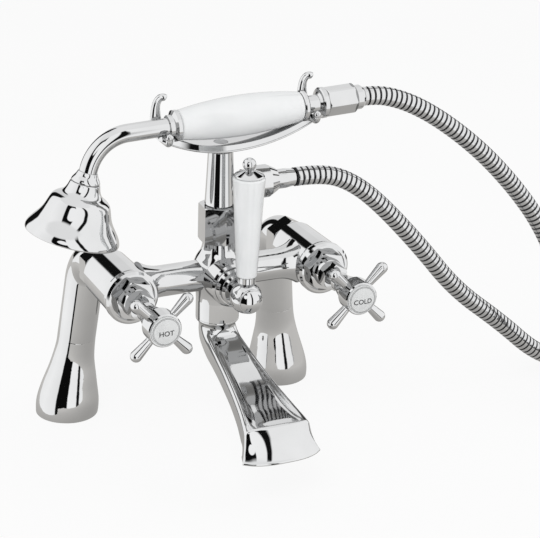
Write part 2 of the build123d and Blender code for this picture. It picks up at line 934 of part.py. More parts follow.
# Diverter: rotor and shaft, gland, flange, ball hub and lever
rotor_start = diverter_seat + seat_gap
rotor_end = rotor_start + rotor_length
flange_front = boss_front + flange_thickness + flange_step
lever_neck_start = flange_front + seat_gap
ball_back = lever_plane - sqrt(lever_ball_radius**2 - lever_neck_radius**2)
ball_front_radius = sqrt(lever_ball_radius**2 - (hub_cap_seat - lever_plane) ** 2)
with BuildPart() as diverter_spindle:
    revolve(
        profile(
            forward,
            (rotor_start, 0),
            (rotor_start, rotor_radius),
            (rotor_end, rotor_radius),
            (rotor_end, diverter_shaft_radius),
            (diverter_shaft_end, diverter_shaft_radius),
            (diverter_shaft_end, hub_screw_radius + running_gap),
            (diverter_shaft_end - hub_screw_head_radius, hub_screw_radius + running_gap),
            (diverter_shaft_end - hub_screw_head_radius, 0),
        ),
        axis=axis_of(forward),
    )
    with BuildSketch(across(forward, rotor_start)):
        Circle(rotor_port)
    extrude(amount=rotor_port, mode=Mode.SUBTRACT)
    with BuildSketch(Plane(origin=(0, -rotor_start - rotor_port, valve_height))):
        Circle(rotor_port / 2)
    extrude(amount=rotor_radius + cut_over, mode=Mode.SUBTRACT)
finish(diverter_spindle, "diverter_spindle")

with BuildPart() as diverter_gland:
    with BuildSketch(across(forward, rotor_end + seat_gap)):
        Circle(diverter_bore - thread_gap)
        Circle(diverter_shaft_radius + running_gap, mode=Mode.SUBTRACT)
    extrude(amount=boss_front - rotor_end - seat_gap)
finish(diverter_gland, "diverter_gland")

with BuildPart() as diverter_flange:
    revolve(
        profile(
            forward,
            (boss_front, diverter_shaft_radius + running_gap),
            (boss_front, flange_radius - barrel_round),
            (boss_front + barrel_round, flange_radius),
            (boss_front + flange_thickness - barrel_round, flange_radius),
            (boss_front + flange_thickness, flange_radius - barrel_round),
            (boss_front + flange_thickness, flange_step_radius),
            (flange_front - barrel_round, flange_step_radius),
            (flange_front, flange_step_radius - barrel_round),
            (flange_front, diverter_shaft_radius + running_gap),
        ),
        axis=axis_of(forward),
    )
finish(diverter_flange, "diverter_flange")

with BuildPart() as lever_hub:
    with BuildSketch(forward):
        with BuildLine():
            Polyline(
                (hub_cap_seat, ball_front_radius),
                (hub_cap_seat, 0),
                (lever_neck_start, 0),
                (lever_neck_start, lever_neck_radius),
                (ball_back, lever_neck_radius),
            )
            ThreePointArc(
                (ball_back, lever_neck_radius),
                (lever_plane, lever_ball_radius),
                (hub_cap_seat, ball_front_radius),
            )
        make_face()
    revolve(axis=axis_of(forward))
    revolve(
        profile(
            forward,
            (lever_neck_start - cut_over, 0),
            (lever_neck_start - cut_over, diverter_shaft_radius + running_gap),
            (diverter_shaft_end + disc_gap, diverter_shaft_radius + running_gap),
            (diverter_shaft_end + disc_gap, hub_screw_radius + running_gap),
            (hub_cap_seat - hub_screw_head - seat_gap, hub_screw_radius + running_gap),
            (hub_cap_seat - hub_screw_head - seat_gap, hub_screw_head_radius + seat_gap),
            (hub_cap_seat + cut_over, hub_screw_head_radius + seat_gap),
            (hub_cap_seat + cut_over, 0),
        ),
        axis=axis_of(forward),
        mode=Mode.SUBTRACT,
    )
    split(bisect_by=Plane.XY.offset(lever_collar_base), keep=Keep.BOTTOM)
    with BuildSketch(across(lever_line, lever_collar_base)):
        Circle(lever_rod_radius + thread_gap)
    extrude(amount=lever_rod_start - seat_gap - lever_collar_base, mode=Mode.SUBTRACT)
finish(lever_hub, "lever_hub")

with BuildPart() as hub_screw:
    revolve(
        profile(
            forward,
            (diverter_shaft_end - hub_screw_head_radius + seat_gap, 0),
            (diverter_shaft_end - hub_screw_head_radius + seat_gap, hub_screw_radius),
            (hub_cap_seat - hub_screw_head - seat_gap, hub_screw_radius),
            (hub_cap_seat - hub_screw_head - seat_gap, hub_screw_head_radius),
            (hub_cap_seat - seat_gap, hub_screw_head_radius),
            (hub_cap_seat - seat_gap, 0),
        ),
        axis=axis_of(forward),
    )
finish(hub_screw, "lever_hub_screw")

with BuildPart() as hub_cap:
    with BuildSketch(forward):
        with BuildLine():
            Polyline(
                (hub_cap_seat + hub_cap_rise, 0),
                (hub_cap_seat, 0),
                (hub_cap_seat, hub_cap_radius),
                (hub_cap_seat + hub_cap_rim, hub_cap_radius),
            )
            TangentArc(
                (hub_cap_seat + hub_cap_rise, 0),
                (hub_cap_seat + hub_cap_rim, hub_cap_radius),
                tangent=(0, 1),
            )
        make_face()
    revolve(axis=axis_of(forward))
finish(hub_cap, "lever_hub_cap")

with BuildPart() as lever_collar:
    revolve(
        profile(
            lever_line,
            (lever_collar_base, lever_rod_radius + running_gap),
            (lever_collar_base, lever_collar_radius - barrel_round / 2),
            (lever_collar_base + barrel_round, lever_collar_radius),
            (lever_grip_base - barrel_round, lever_collar_radius),
            (lever_grip_base, lever_grip_base_radius - barrel_round / 2),
            (lever_grip_base, lever_rod_radius + running_gap),
        ),
        axis=axis_of(lever_line),
    )
finish(lever_collar, "lever_collar")

with BuildPart() as lever_grip:
    with BuildSketch(lever_line):
        with BuildLine():
            FilletPolyline(
                (lever_grip_base, lever_rod_radius + seat_gap),
                (lever_grip_base, lever_grip_base_radius),
                (lever_grip_top, lever_grip_top_radius),
                (lever_grip_top, lever_rod_radius + seat_gap),
                radius=(0, lever_grip_round, lever_grip_round, 0),
                close=True,
            )
        make_face()
    revolve(axis=axis_of(lever_line))
finish(lever_grip, "lever_grip")

cap_top = lever_grip_top + lever_cap_height
with BuildPart() as lever_cap:
    revolve(
        profile(
            lever_line,
            (lever_grip_top, lever_rod_radius + running_gap),
            (lever_grip_top, lever_cap_radius - lever_cap_rim / 2),
            (lever_grip_top + lever_cap_rim / 2, lever_cap_radius),
            (lever_grip_top + lever_cap_rim, lever_cap_radius - lever_cap_rim / 2),
            (cap_top, lever_stem_radius + lever_cap_rim),
            (cap_top, lever_rod_radius + running_gap),
        ),
        axis=axis_of(lever_line),
    )
finish(lever_cap, "lever_cap")

with BuildPart() as lever_rod:
    revolve(
        profile(
            lever_line,
            (lever_rod_start, 0),
            (lever_rod_start, lever_rod_radius),
            (cap_top - seat_gap, lever_rod_radius),
            (cap_top - seat_gap, 0),
        ),
        axis=axis_of(lever_line),
    )
finish(lever_rod, "lever_rod")

finial_centre = cap_top + finial_rise
with BuildPart() as finial:
    revolve(
        profile(
            lever_line,
            (cap_top, 0),
            (cap_top, lever_stem_radius + lever_cap_rim / 2),
            (cap_top + lever_cap_rim / 2, lever_stem_radius),
            (finial_centre, lever_stem_radius),
            (finial_centre, 0),
        ),
        axis=axis_of(lever_line),
    )
    with Locations((0, -lever_plane, finial_centre)):
        Sphere(finial_radius)
finish(finial, "lever_finial")

# Bath spout: collar and tail, tongue, nose and the waterway through them
def spout_place(turn_share, past):
    """The plane square to the spout's run, in its bend or past it."""
    turn = turn_share * (pi / 2 - slope)
    reach = bar_reach + spout_bend_radius * (1 - cos(turn)) + past * sin(turn)
    height = spout_neck_height - spout_bend_radius * sin(turn) - past * cos(turn)
    return Plane(origin=(0, -reach, height), x_dir=(1, 0, 0), z_dir=(0, -sin(turn), -cos(turn)))


spout_bends = (
    (0, 0, 2 * spout_neck_radius, 2 * spout_neck_radius, spout_neck_radius - seat_gap),
    (spout_mid_turn_share, 0, spout_bend_width, spout_bend_depth, spout_bend_corner),
)
spout_run = spout_bends + tuple((1, *row) for row in spout_sections)
spout_end_row = spout_sections[-1]
spout_end = spout_place(1, spout_end_row[0])
nose_roof = Plane(
    origin=spout_end.origin
    + spout_end.y_dir * (spout_end_row[2] / 2 - nose_top_drop)
    + spout_end.z_dir * (nose_top_overhang - nose_top_length / 2),
    x_dir=(1, 0, 0),
    z_dir=spout_end.y_dir,
)
nose_length = nose_front - nose_back
nose_middle = (nose_front + nose_back) / 2
spout_tail_top = lower_barrel_bottom + spout_tail_length
spout_ring_height = lower_barrel_bottom + spout_ring_inset
with BuildPart() as spout:
    for turn_share, past, width, depth, corner in spout_run:
        with BuildSketch(spout_place(turn_share, past)):
            RectangleRounded(width, depth, corner)
    loft()
    with BuildSketch(Plane(origin=(0, -nose_middle, nose_height))):
        RectangleRounded(nose_width, nose_length, nose_corner)
    with BuildSketch(nose_roof):
        RectangleRounded(nose_top_width, nose_top_length, nose_top_corner)
    loft()
    revolve(
        profile(
            upright,
            (spout_neck_height - seat_gap, 0),
            (spout_neck_height - seat_gap, spout_neck_radius),
            (spout_neck_height + seat_gap, spout_neck_radius + seat_gap),
            (lower_barrel_bottom - spout_collar_lip, lower_barrel_radius - seat_gap),
            (lower_barrel_bottom - seat_gap, lower_barrel_radius),
            (lower_barrel_bottom, lower_barrel_radius - seat_gap),
            (lower_barrel_bottom, spout_tail_radius),
            (spout_ring_height - spout_ring_wire - running_gap, spout_tail_radius),
            (spout_ring_height - spout_ring_wire - running_gap, spout_socket_radius - 2 * spout_ring_wire),
            (spout_ring_height + spout_ring_wire + running_gap, spout_socket_radius - 2 * spout_ring_wire),
            (spout_ring_height + spout_ring_wire + running_gap, spout_tail_radius),
            (spout_tail_top - seat_gap, spout_tail_radius),
            (spout_tail_top, spout_tail_radius - seat_gap),
            (spout_tail_top, 0),
        ),
        axis=axis_of(upright),
    )
    for turn_share, past, width, depth, corner in spout_run[:-1]:
        with BuildSketch(spout_place(turn_share, past)):
            RectangleRounded(width - 2 * spout_wall, depth - 2 * spout_wall, corner - spout_wall)
    loft(mode=Mode.SUBTRACT)
    with BuildSketch(Plane(origin=(0, -nose_middle, nose_height - cut_over))):
        RectangleRounded(nose_width - 2 * spout_wall, nose_length - 2 * spout_wall, nose_corner - spout_wall)
    with BuildSketch(Plane(origin=(0, nose_roof.origin.Y, nose_height + mouth_depth))):
        RectangleRounded(
            nose_top_width - 2 * spout_wall,
            nose_top_length - 2 * spout_wall,
            nose_top_corner - spout_wall / 2,
        )
    loft(mode=Mode.SUBTRACT)
    revolve(
        profile(
            upright,
            (spout_neck_height - cut_over, 0),
            (spout_neck_height - cut_over, spout_bore),
            (spout_tail_top + cut_over, spout_bore),
            (spout_tail_top + cut_over, 0),
        ),
        axis=axis_of(upright),
        mode=Mode.SUBTRACT,
    )
finish(spout, "spout")

with BuildPart() as spout_ring:
    with BuildSketch(upright):
        with Locations((spout_ring_height, spout_socket_radius - spout_ring_wire)):
            Circle(spout_ring_wire)
    revolve(axis=axis_of(upright))
finish(spout_ring, "spout_oring")

with BuildPart() as grub_screw:
    with BuildSketch(
        Plane(
            origin=(0, bar_y + spout_tail_radius, lower_barrel_bottom + spout_socket_depth / 2),
            z_dir=(0, 1, 0),
        )
    ):
        Circle(grub_radius - thread_gap)
    extrude(amount=grub_length)
finish(grub_screw, "spout_grub_screw")

# Cradle: union nut, washer, column with its outlet, arm and screw
cradle_nut_base = top_boss_top + seat_gap
cradle_nut_top = cradle_nut_base + cradle_nut_length
column_base = spigot_top + cradle_washer_thickness
nut_corner = cradle_nut_flats / sqrt(3)
with BuildPart() as cradle_nut:
    with BuildSketch(Plane(origin=(0, bar_y, cradle_nut_base))):
        RegularPolygon(cradle_nut_flats / 2, 6, major_radius=False, rotation=cradle_nut_turn)
    extrude(amount=cradle_nut_length)
    revolve(
        profile(
            upright,
            (cradle_nut_base - cut_over, nut_corner - nut_chamfer - cut_over),
            (cradle_nut_base + nut_chamfer, nut_corner + nut_chamfer),
            (cradle_nut_base - cut_over, nut_corner + nut_chamfer),
        ),
        axis=axis_of(upright),
        mode=Mode.SUBTRACT,
    )
    revolve(
        profile(
            upright,
            (cradle_nut_top + cut_over, nut_corner - nut_chamfer - cut_over),
            (cradle_nut_top - nut_chamfer, nut_corner + nut_chamfer),
            (cradle_nut_top + cut_over, nut_corner + nut_chamfer),
        ),
        axis=axis_of(upright),
        mode=Mode.SUBTRACT,
    )
    revolve(
        profile(
            upright,
            (cradle_nut_base - cut_over, 0),
            (cradle_nut_base - cut_over, cradle_thread_radius + thread_gap),
            (column_base + column_tail_flange + seat_gap, cradle_thread_radius + thread_gap),
            (column_base + column_tail_flange + seat_gap, column_tail_radius + thread_gap),
            (cradle_nut_top + cut_over, column_tail_radius + thread_gap),
            (cradle_nut_top + cut_over, 0),
        ),
        axis=axis_of(upright),
        mode=Mode.SUBTRACT,
    )
finish(cradle_nut, "cradle_union_nut")

with BuildPart() as cradle_washer:
    with BuildSketch(Plane(origin=(0, bar_y, spigot_top))):
        Circle(cradle_thread_radius - thread_gap)
        Circle(waterway_radius, mode=Mode.SUBTRACT)
    extrude(amount=cradle_washer_thickness)
finish(cradle_washer, "cradle_washer")

outlet_line = Plane(origin=(0, bar_y, outlet_height), x_dir=(1, 0, 0), z_dir=(0, -1, 0))
column_start = cradle_nut_top + seat_gap
arm_top = arm_low_z + arm_thickness
screw_head_base = arm_top - cradle_screw_head
screw_end = arm_top - cradle_screw_length
with BuildPart() as column:
    revolve(
        profile(
            upright,
            (column_base, 0),
            (column_base, cradle_thread_radius - thread_gap),
            (column_base + column_tail_flange, cradle_thread_radius - thread_gap),
            (column_base + column_tail_flange, column_tail_radius),
            (column_start, column_tail_radius),
            (column_start, column_base_radius - barrel_round / 2),
            (column_start + barrel_round / 2, column_base_radius),
            (column_shoulder, (column_base_radius + column_top_radius) / 2),
            (column_neck, column_top_radius),
            (column_top, column_neck_radius),
            (column_top, 0),
        ),
        axis=axis_of(upright),
    )
    revolve(
        profile(
            outlet_line,
            (0, 0),
            (0, outlet_radius),
            (outlet_thread_start, outlet_radius),
            (outlet_thread_start, outlet_collar_radius - barrel_round / 2),
            (outlet_thread_start + barrel_round / 2, outlet_collar_radius),
            (outlet_reach, outlet_thread_radius),
            (outlet_reach, 0),
        ),
        axis=axis_of(outlet_line),
    )
    with BuildSketch(Plane(origin=(0, bar_y, column_base))):
        Circle(column_bore)
    extrude(amount=column_shoulder - column_base, mode=Mode.SUBTRACT)
    with BuildSketch(across(outlet_line, 0)):
        Circle(outlet_bore)
    extrude(amount=outlet_reach + cut_over, mode=Mode.SUBTRACT)
    with BuildSketch(Plane(origin=(0, bar_y, screw_end - seat_gap))):
        Circle(cradle_screw_radius + thread_gap)
    extrude(amount=cradle_screw_length, mode=Mode.SUBTRACT)
finish(column, "cradle_column")


def arm_point(radius, along, lift):
    """A point of the arm's side view, on its arc or lifted towards the arc's centre."""
    turn = asin(along / radius)
    return (arm_low_x + (radius - lift) * sin(turn), arm_low_z + radius - (radius - lift) * cos(turn))


arm_left = -(arm_left_reach + arm_low_x)
arm_right = arm_right_reach - arm_low_x
side_view = Plane(origin=(0, bar_y, 0), x_dir=(1, 0, 0), z_dir=(0, -1, 0))
with BuildPart() as arm:
    with BuildSketch(side_view):
        with BuildLine():
            ThreePointArc(
                arm_point(arm_left_radius, arm_left, 0),
                arm_point(arm_left_radius, arm_left / 2, 0),
                (arm_low_x, arm_low_z),
            )
            ThreePointArc(
                (arm_low_x, arm_low_z),
                arm_point(arm_right_radius, arm_right / 2, 0),
                arm_point(arm_right_radius, arm_right, 0),
            )
            Line(
                arm_point(arm_right_radius, arm_right, 0),
                arm_point(arm_right_radius, arm_right, arm_thickness),
            )
            ThreePointArc(
                arm_point(arm_right_radius, arm_right, arm_thickness),
                arm_point(arm_right_radius, arm_right / 2, arm_thickness),
                (arm_low_x, arm_low_z + arm_thickness),
            )
            ThreePointArc(
                (arm_low_x, arm_low_z + arm_thickness),
                arm_point(arm_left_radius, arm_left / 2, arm_thickness),
                arm_point(arm_left_radius, arm_left, arm_thickness),
            )
            Line(
                arm_point(arm_left_radius, arm_left, arm_thickness),
                arm_point(arm_left_radius, arm_left, 0),
            )
        make_face()
    extrude(amount=arm_half_width + cut_over, both=True)
    with BuildSketch(Plane(origin=(arm_low_x, bar_y, arm_low_z - cut_over))):
        with BuildLine():
            ThreePointArc(
                (arm_left - cut_over, -arm_end_half_width),
                (0, -arm_half_width),
                (arm_right + cut_over, -arm_end_half_width),
            )
            Line(
                (arm_right + cut_over, -arm_end_half_width),
                (arm_right + cut_over, arm_end_half_width),
            )
            ThreePointArc(
                (arm_right + cut_over, arm_end_half_width),
                (0, arm_half_width),
                (arm_left - cut_over, arm_end_half_width),
            )
            Line(
                (arm_left - cut_over, arm_end_half_width),
                (arm_left - cut_over, -arm_end_half_width),
            )
        make_face()
    extrude(amount=4 * arm_half_width, mode=Mode.INTERSECT)
    with BuildSketch(Plane(origin=(0, bar_y, column_top))):
        Circle(column_neck_radius)
    extrude(amount=arm_thickness / 2)
    revolve(
        profile(
            handset,
            (-pipe_corner, 0),
            (-pipe_corner, pipe_radius + seat_gap),
            (-grip_left - ferrule_length - seat_gap, pipe_radius + seat_gap),
            (-grip_left - ferrule_length - seat_gap, ferrule_neck_radius + seat_gap),
            (-grip_left - ferrule_length + ferrule_neck - seat_gap, ferrule_neck_radius + seat_gap),
            (-grip_left - ferrule_length + ferrule_neck - seat_gap, ferrule_radius + seat_gap),
            (-grip_left, ferrule_radius + seat_gap),
            (grip_mid, grip_mid_radius + seat_gap),
            (grip_right, ferrule_radius + seat_gap),
            (grip_right + end_ring_thickness + seat_gap, ferrule_radius + seat_gap),
            (grip_right + end_ring_thickness + seat_gap, inlet_neck_radius + seat_gap),
            (inlet_flange_start, inlet_neck_radius + seat_gap),
            (inlet_flange_start, 0),
        ),
        axis=axis_of(handset),
        mode=Mode.SUBTRACT,
    )
    for fork_x in (-fork_left, fork_right):
        fork_plane = Plane(
            origin=(fork_x, bar_y, handset_height + fork_x * tan(tilt)),
            x_dir=(0, 1, 0),
            z_dir=(1, 0, 0),
        )
        with BuildLine(fork_plane) as prong_line:
            FilletPolyline(
                (-fork_front, -fork_front_drop),
                (-fork_front, -fork_bottom),
                (fork_back, -fork_bottom),
                (fork_back, fork_mid_rise),
                (fork_tip_back, fork_back_rise),
                radius=(fork_front_radius, fork_back_radius, fork_curl_radius),
            )
        with BuildSketch(Plane(origin=prong_line.line @ 0, x_dir=(1, 0, 0), z_dir=prong_line.line % 0)):
            Circle(prong_radius)
        sweep(path=prong_line.line)
        with Locations(prong_line.line @ 0, prong_line.line @ 1):
            Sphere(prong_tip_radius)
    revolve(
        profile(
            upright,
            (column_top - cut_over, 0),
            (column_top - cut_over, cradle_screw_radius + thread_gap),
            (screw_head_base, cradle_screw_radius + thread_gap),
            (screw_head_base, cradle_screw_head_radius + thread_gap),
            (arm_top + cut_over, cradle_screw_head_radius + thread_gap),
            (arm_top + cut_over, 0),
        ),
        axis=axis_of(upright),
        mode=Mode.SUBTRACT,
    )
finish(arm, "cradle_arm")

with BuildPart() as cradle_screw:
    revolve(
        profile(
            upright,
            (screw_end, 0),
            (screw_end, cradle_screw_radius),
            (screw_head_base, cradle_screw_radius),
            (screw_head_base, cradle_screw_head_radius),
            (arm_top - seat_gap, cradle_screw_head_radius),
            (arm_top, cradle_screw_head_radius - seat_gap),
            (arm_top, 0),
        ),
        axis=axis_of(upright),
    )
finish(cradle_screw, "cradle_screw")

# Hose fittings at the outlet
outlet_nut_end = outlet_nut_start + outlet_nut_length
hose_flange_start = outlet_reach + hose_washer_thickness
hose_flange_end = hose_flange_start + hose_flange_length
outlet_ferrule_end = outlet_nut_end + hose_ferrule_length
with BuildPart() as outlet_nut:
    with BuildSketch(across(outlet_line, outlet_nut_start)):
        RegularPolygon(outlet_nut_flats / 2, 6, major_radius=False, rotation=30)
    extrude(amount=outlet_nut_length)
    revolve(
        profile(
            outlet_line,
            (outlet_nut_start, 0),
            (outlet_nut_start, outlet_nut_flats / 2 - barrel_round / 2),
            (outlet_nut_start + barrel_round, outlet_nut_round),
            (outlet_nut_end - outlet_nut_cone, outlet_nut_round),
            (outlet_nut_end, outlet_nut_end_radius),
            (outlet_nut_end, 0),
        ),
        axis=axis_of(outlet_line),
        mode=Mode.INTERSECT,
    )
    revolve(
        profile(
            outlet_line,
            (outlet_nut_start - cut_over, 0),
            (outlet_nut_start - cut_over, outlet_thread_radius + thread_gap),
            (hose_flange_end + seat_gap, outlet_thread_radius + thread_gap),
            (hose_flange_end + seat_gap, hose_ferrule_radius + thread_gap),
            (outlet_nut_end + cut_over, hose_ferrule_radius + thread_gap),
            (outlet_nut_end + cut_over, 0),
        ),
        axis=axis_of(outlet_line),
        mode=Mode.SUBTRACT,
    )
finish(outlet_nut, "hose_outlet_nut")

with BuildPart() as outlet_ferrule:
    revolve(
        profile(
            outlet_line,
            (hose_flange_start, hose_tail_bore),
            (hose_flange_start, outlet_thread_radius - thread_gap),
            (hose_flange_end, outlet_thread_radius - thread_gap),
            (hose_flange_end, hose_ferrule_radius),
            (outlet_nut_end + hose_ferrule_length / 2, hose_ferrule_radius),
            (outlet_ferrule_end, hose_ferrule_neck),
            (outlet_ferrule_end, hose_tail_radius),
            (outlet_ferrule_end + lower_tail, hose_tail_radius),
            (outlet_ferrule_end + lower_tail, hose_tail_bore),
        ),
        axis=axis_of(outlet_line),
    )
finish(outlet_ferrule, "hose_outlet_ferrule")

# Handset: pipe, front ferrule, ceramic grip, end ring and inlet
handset_inlet_start = grip_right + end_ring_thickness / 2
inlet_flange_end = inlet_flange_start + inlet_flange_thickness
handset_tail_end = inlet_flange_end + handset_tail_length
pipe_end = handset_inlet_start - seat_gap
grip_start = -grip_left + seat_gap
ferrule_start = -grip_left - ferrule_length
with BuildPart() as pipe:
    with BuildLine() as pipe_line:
        FilletPolyline(
            handset.from_local_coords(Vector(pipe_end, 0, 0)),
            handset.from_local_coords(Vector(-pipe_corner, 0, 0)),
            bell.origin + bell.x_dir * pipe_into_collar,
            radius=pipe_bend_radius,
        )
    with BuildSketch(Plane(origin=pipe_line.line @ 0, x_dir=(0, 1, 0), z_dir=pipe_line.line % 0)):
        Circle(pipe_radius)
        Circle(pipe_bore, mode=Mode.SUBTRACT)
    sweep(path=pipe_line.line)
finish(pipe, "handset_pipe")

with BuildPart() as ferrule:
    revolve(
        profile(
            handset,
            (ferrule_start, pipe_radius + thread_gap),
            (ferrule_start, ferrule_neck_radius - seat_gap),
            (ferrule_start + seat_gap, ferrule_neck_radius),
            (ferrule_start + ferrule_neck, ferrule_neck_radius),
            (ferrule_start + ferrule_neck + barrel_round, ferrule_radius),
            (-grip_left - barrel_round / 2, ferrule_radius),
            (-grip_left, ferrule_radius - barrel_round / 2),
            (-grip_left, pipe_radius + thread_gap),
        ),
        axis=axis_of(handset),
    )
finish(ferrule, "handset_ferrule")

with BuildPart() as grip:
    with BuildSketch(handset):
        with BuildLine():
            Polyline(
                (grip_start + barrel_round / 2, grip_end_radius),
                (grip_start, grip_end_radius - barrel_round / 2),
                (grip_start, grip_bore),
                (grip_right, grip_bore),
                (grip_right, grip_end_radius - barrel_round / 2),
                (grip_right - barrel_round / 2, grip_end_radius),
            )
            ThreePointArc(
                (grip_right - barrel_round / 2, grip_end_radius),
                (grip_mid, grip_mid_radius),
                (grip_start + barrel_round / 2, grip_end_radius),
            )
        make_face()
    revolve(axis=axis_of(handset))
finish(grip, "handset_grip")

ring_start = grip_right + seat_gap
ring_end = grip_right + end_ring_thickness
with BuildPart() as end_ring:
    revolve(
        profile(
            handset,
            (ring_start, inlet_neck_radius + thread_gap),
            (ring_start, end_ring_radius - barrel_round / 2),
            (ring_start + barrel_round / 2, end_ring_radius),
            (ring_end - barrel_round / 2, end_ring_radius),
            (ring_end, end_ring_radius - barrel_round / 2),
            (ring_end, inlet_neck_radius + thread_gap),
        ),
        axis=axis_of(handset),
    )
finish(end_ring, "handset_end_ring")

with BuildPart() as inlet:
    revolve(
        profile(
            handset,
            (handset_inlet_start, pipe_bore),
            (handset_inlet_start, inlet_neck_radius),
            (inlet_flange_start - barrel_round, inlet_neck_radius),
            (inlet_flange_start, inlet_neck_radius + barrel_round),
            (inlet_flange_start, inlet_flange_radius - barrel_round / 2),
            (inlet_flange_start + barrel_round / 2, inlet_flange_radius),
            (inlet_flange_end - barrel_round / 2, inlet_flange_radius),
            (inlet_flange_end, inlet_flange_radius - barrel_round / 2),
            (inlet_flange_end, handset_thread_radius),
            (handset_tail_end, handset_thread_radius),
            (handset_tail_end, pipe_bore),
        ),
        axis=axis_of(handset),
    )
finish(inlet, "handset_inlet")

# Hose fittings at the handset
handset_nut_start = inlet_flange_end + seat_gap
handset_nut_end = inlet_flange_end + handset_nut_length
upper_flange_start = handset_tail_end + hose_washer_thickness
upper_flange_end = upper_flange_start + hose_flange_length
upper_ferrule_end = hose_start - seat_gap
flats_end = handset_nut_start + handset_nut_flat_length
with BuildPart() as handset_nut:
    revolve(
        profile(
            handset,
            (handset_nut_start, 0),
            (handset_nut_start, handset_nut_radius - barrel_round / 2),
            (handset_nut_start + barrel_round / 2, handset_nut_radius),
            (flats_end, handset_nut_radius),
            (flats_end + barrel_round, handset_nut_end_radius),
            (handset_nut_end - barrel_round, handset_nut_end_radius),
            (handset_nut_end, handset_nut_lip_radius),
            (handset_nut_end, 0),
        ),
        axis=axis_of(handset),
    )
    with BuildSketch(across(handset, handset_nut_start - cut_over)):
        Circle(handset_nut_flats)
        RegularPolygon(handset_nut_flats / 2, 6, major_radius=False, rotation=30, mode=Mode.SUBTRACT)
    extrude(amount=handset_nut_flat_length + cut_over, mode=Mode.SUBTRACT)
    revolve(
        profile(
            handset,
            (handset_nut_start - cut_over, 0),
            (handset_nut_start - cut_over, handset_thread_radius + thread_gap),
            (upper_flange_end + seat_gap, handset_thread_radius + thread_gap),
            (upper_flange_end + seat_gap, hose_shank_radius + thread_gap),
            (upper_ferrule_end, hose_shank_radius + thread_gap),
            (upper_ferrule_end, hose_radius + seat_gap),
            (handset_nut_end + cut_over, hose_radius + seat_gap),
            (handset_nut_end + cut_over, 0),
        ),
        axis=axis_of(handset),
        mode=Mode.SUBTRACT,
    )
finish(handset_nut, "hose_handset_nut")

with BuildPart() as handset_hose_ferrule:
    revolve(
        profile(
            handset,
            (upper_flange_start, hose_tail_bore),
            (upper_flange_start, handset_thread_radius - thread_gap),
            (upper_flange_end, handset_thread_radius - thread_gap),
            (upper_flange_end, hose_shank_radius),
            (upper_ferrule_end, hose_shank_radius),
            (upper_ferrule_end, hose_tail_radius),
            (hose_start + upper_tail, hose_tail_radius),
            (hose_start + upper_tail, hose_tail_bore),
        ),
        axis=axis_of(handset),
    )
finish(handset_hose_ferrule, "hose_handset_ferrule")

with BuildPart() as hose_washers:
    with BuildSketch(across(outlet_line, outlet_reach)):
        Circle(outlet_thread_radius - thread_gap)
        Circle(outlet_bore, mode=Mode.SUBTRACT)
    extrude(amount=hose_washer_thickness)
finish(hose_washers, "outlet_hose_washer")

with BuildPart() as handset_washer:
    with BuildSketch(across(handset, handset_tail_end)):
        Circle(handset_thread_radius - thread_gap)
        Circle(pipe_bore, mode=Mode.SUBTRACT)
    extrude(amount=hose_washer_thickness)
finish(handset_washer, "handset_hose_washer")

# Bell-shaped rose
neck_start = bell_collar_length + seat_gap
spigot_end = bell_collar_length + bell_spigot_length
plate_back = bell_lip - rose_plate_inset - rose_plate_thickness
seal_back = plate_back - rose_seal_thickness
rim_bore = bell_rim_radius - bell_wall
with BuildPart() as bell_collar:
    revolve(
        profile(
            bell,
            (0, pipe_radius + thread_gap),
            (0, bell_collar_top),
            (barrel_round, bell_collar_top + barrel_round),
            (bell_collar_length - 2 * barrel_round, bell_collar_top + barrel_round),
            (bell_collar_length - barrel_round, bell_collar_radius),
            (bell_collar_length, bell_collar_radius),
            (bell_collar_length, bell_spigot_radius),
            (spigot_end, bell_spigot_radius),
            (spigot_end, pipe_bore),
            (pipe_into_collar + seat_gap, pipe_bore),
            (pipe_into_collar + seat_gap, pipe_radius + thread_gap),
        ),
        axis=axis_of(bell),
    )
finish(bell_collar, "bell_collar")

with BuildPart() as rose:
    with BuildSketch(bell):
        with BuildLine():
            Line((neck_start, bell_neck_radius), (bell_neck_end, bell_neck_end_radius))
            Spline(
                (bell_neck_end, bell_neck_end_radius),
                (bell_shoulder, bell_shoulder_radius),
                (bell_waist, bell_waist_radius),
                (bell_flare, bell_flare_radius),
                (bell_rim, bell_rim_radius),
            )
            Polyline(
                (bell_rim, bell_rim_radius),
                (bell_lip, bell_rim_radius),
                (bell_lip, rim_bore),
                (seal_back, rim_bore),
                (seal_back, rim_bore - rose_seal_width),
            )
            Spline(
                (seal_back, rim_bore - rose_seal_width),
                (bell_flare + bell_wall, bell_flare_radius - bell_wall),
                (bell_waist + bell_wall, bell_waist_radius - bell_wall),
                (bell_shoulder + bell_wall, bell_shoulder_radius - bell_wall),
                (bell_neck_end + 2 * bell_wall, bell_neck_end_radius - bell_wall),
            )
            Polyline(
                (bell_neck_end + 2 * bell_wall, bell_neck_end_radius - bell_wall),
                (spigot_end + seat_gap, bell_neck_radius - bell_wall),
                (spigot_end + seat_gap, bell_spigot_radius + thread_gap),
                (neck_start, bell_spigot_radius + thread_gap),
                (neck_start, bell_neck_radius),
            )
        make_face()
    revolve(axis=axis_of(bell))
finish(rose, "bell")

with BuildPart() as rose_seal:
    with BuildSketch(across(bell, seal_back)):
        Circle(rim_bore - thread_gap)
        Circle(rim_bore - rose_seal_width, mode=Mode.SUBTRACT)
    extrude(amount=rose_seal_thickness)
finish(rose_seal, "rose_seal")

with BuildPart() as rose_plate:
    with BuildSketch(across(bell, plate_back)):
        Circle(rim_bore - thread_gap)
        for ring in range(1, rose_hole_rings + 1):
            with PolarLocations(rim_bore * ring / (rose_hole_rings + 1), 6 * ring):
                Circle(rose_hole_radius, mode=Mode.SUBTRACT)
    extrude(amount=rose_plate_thickness)
finish(rose_plate, "rose_plate")


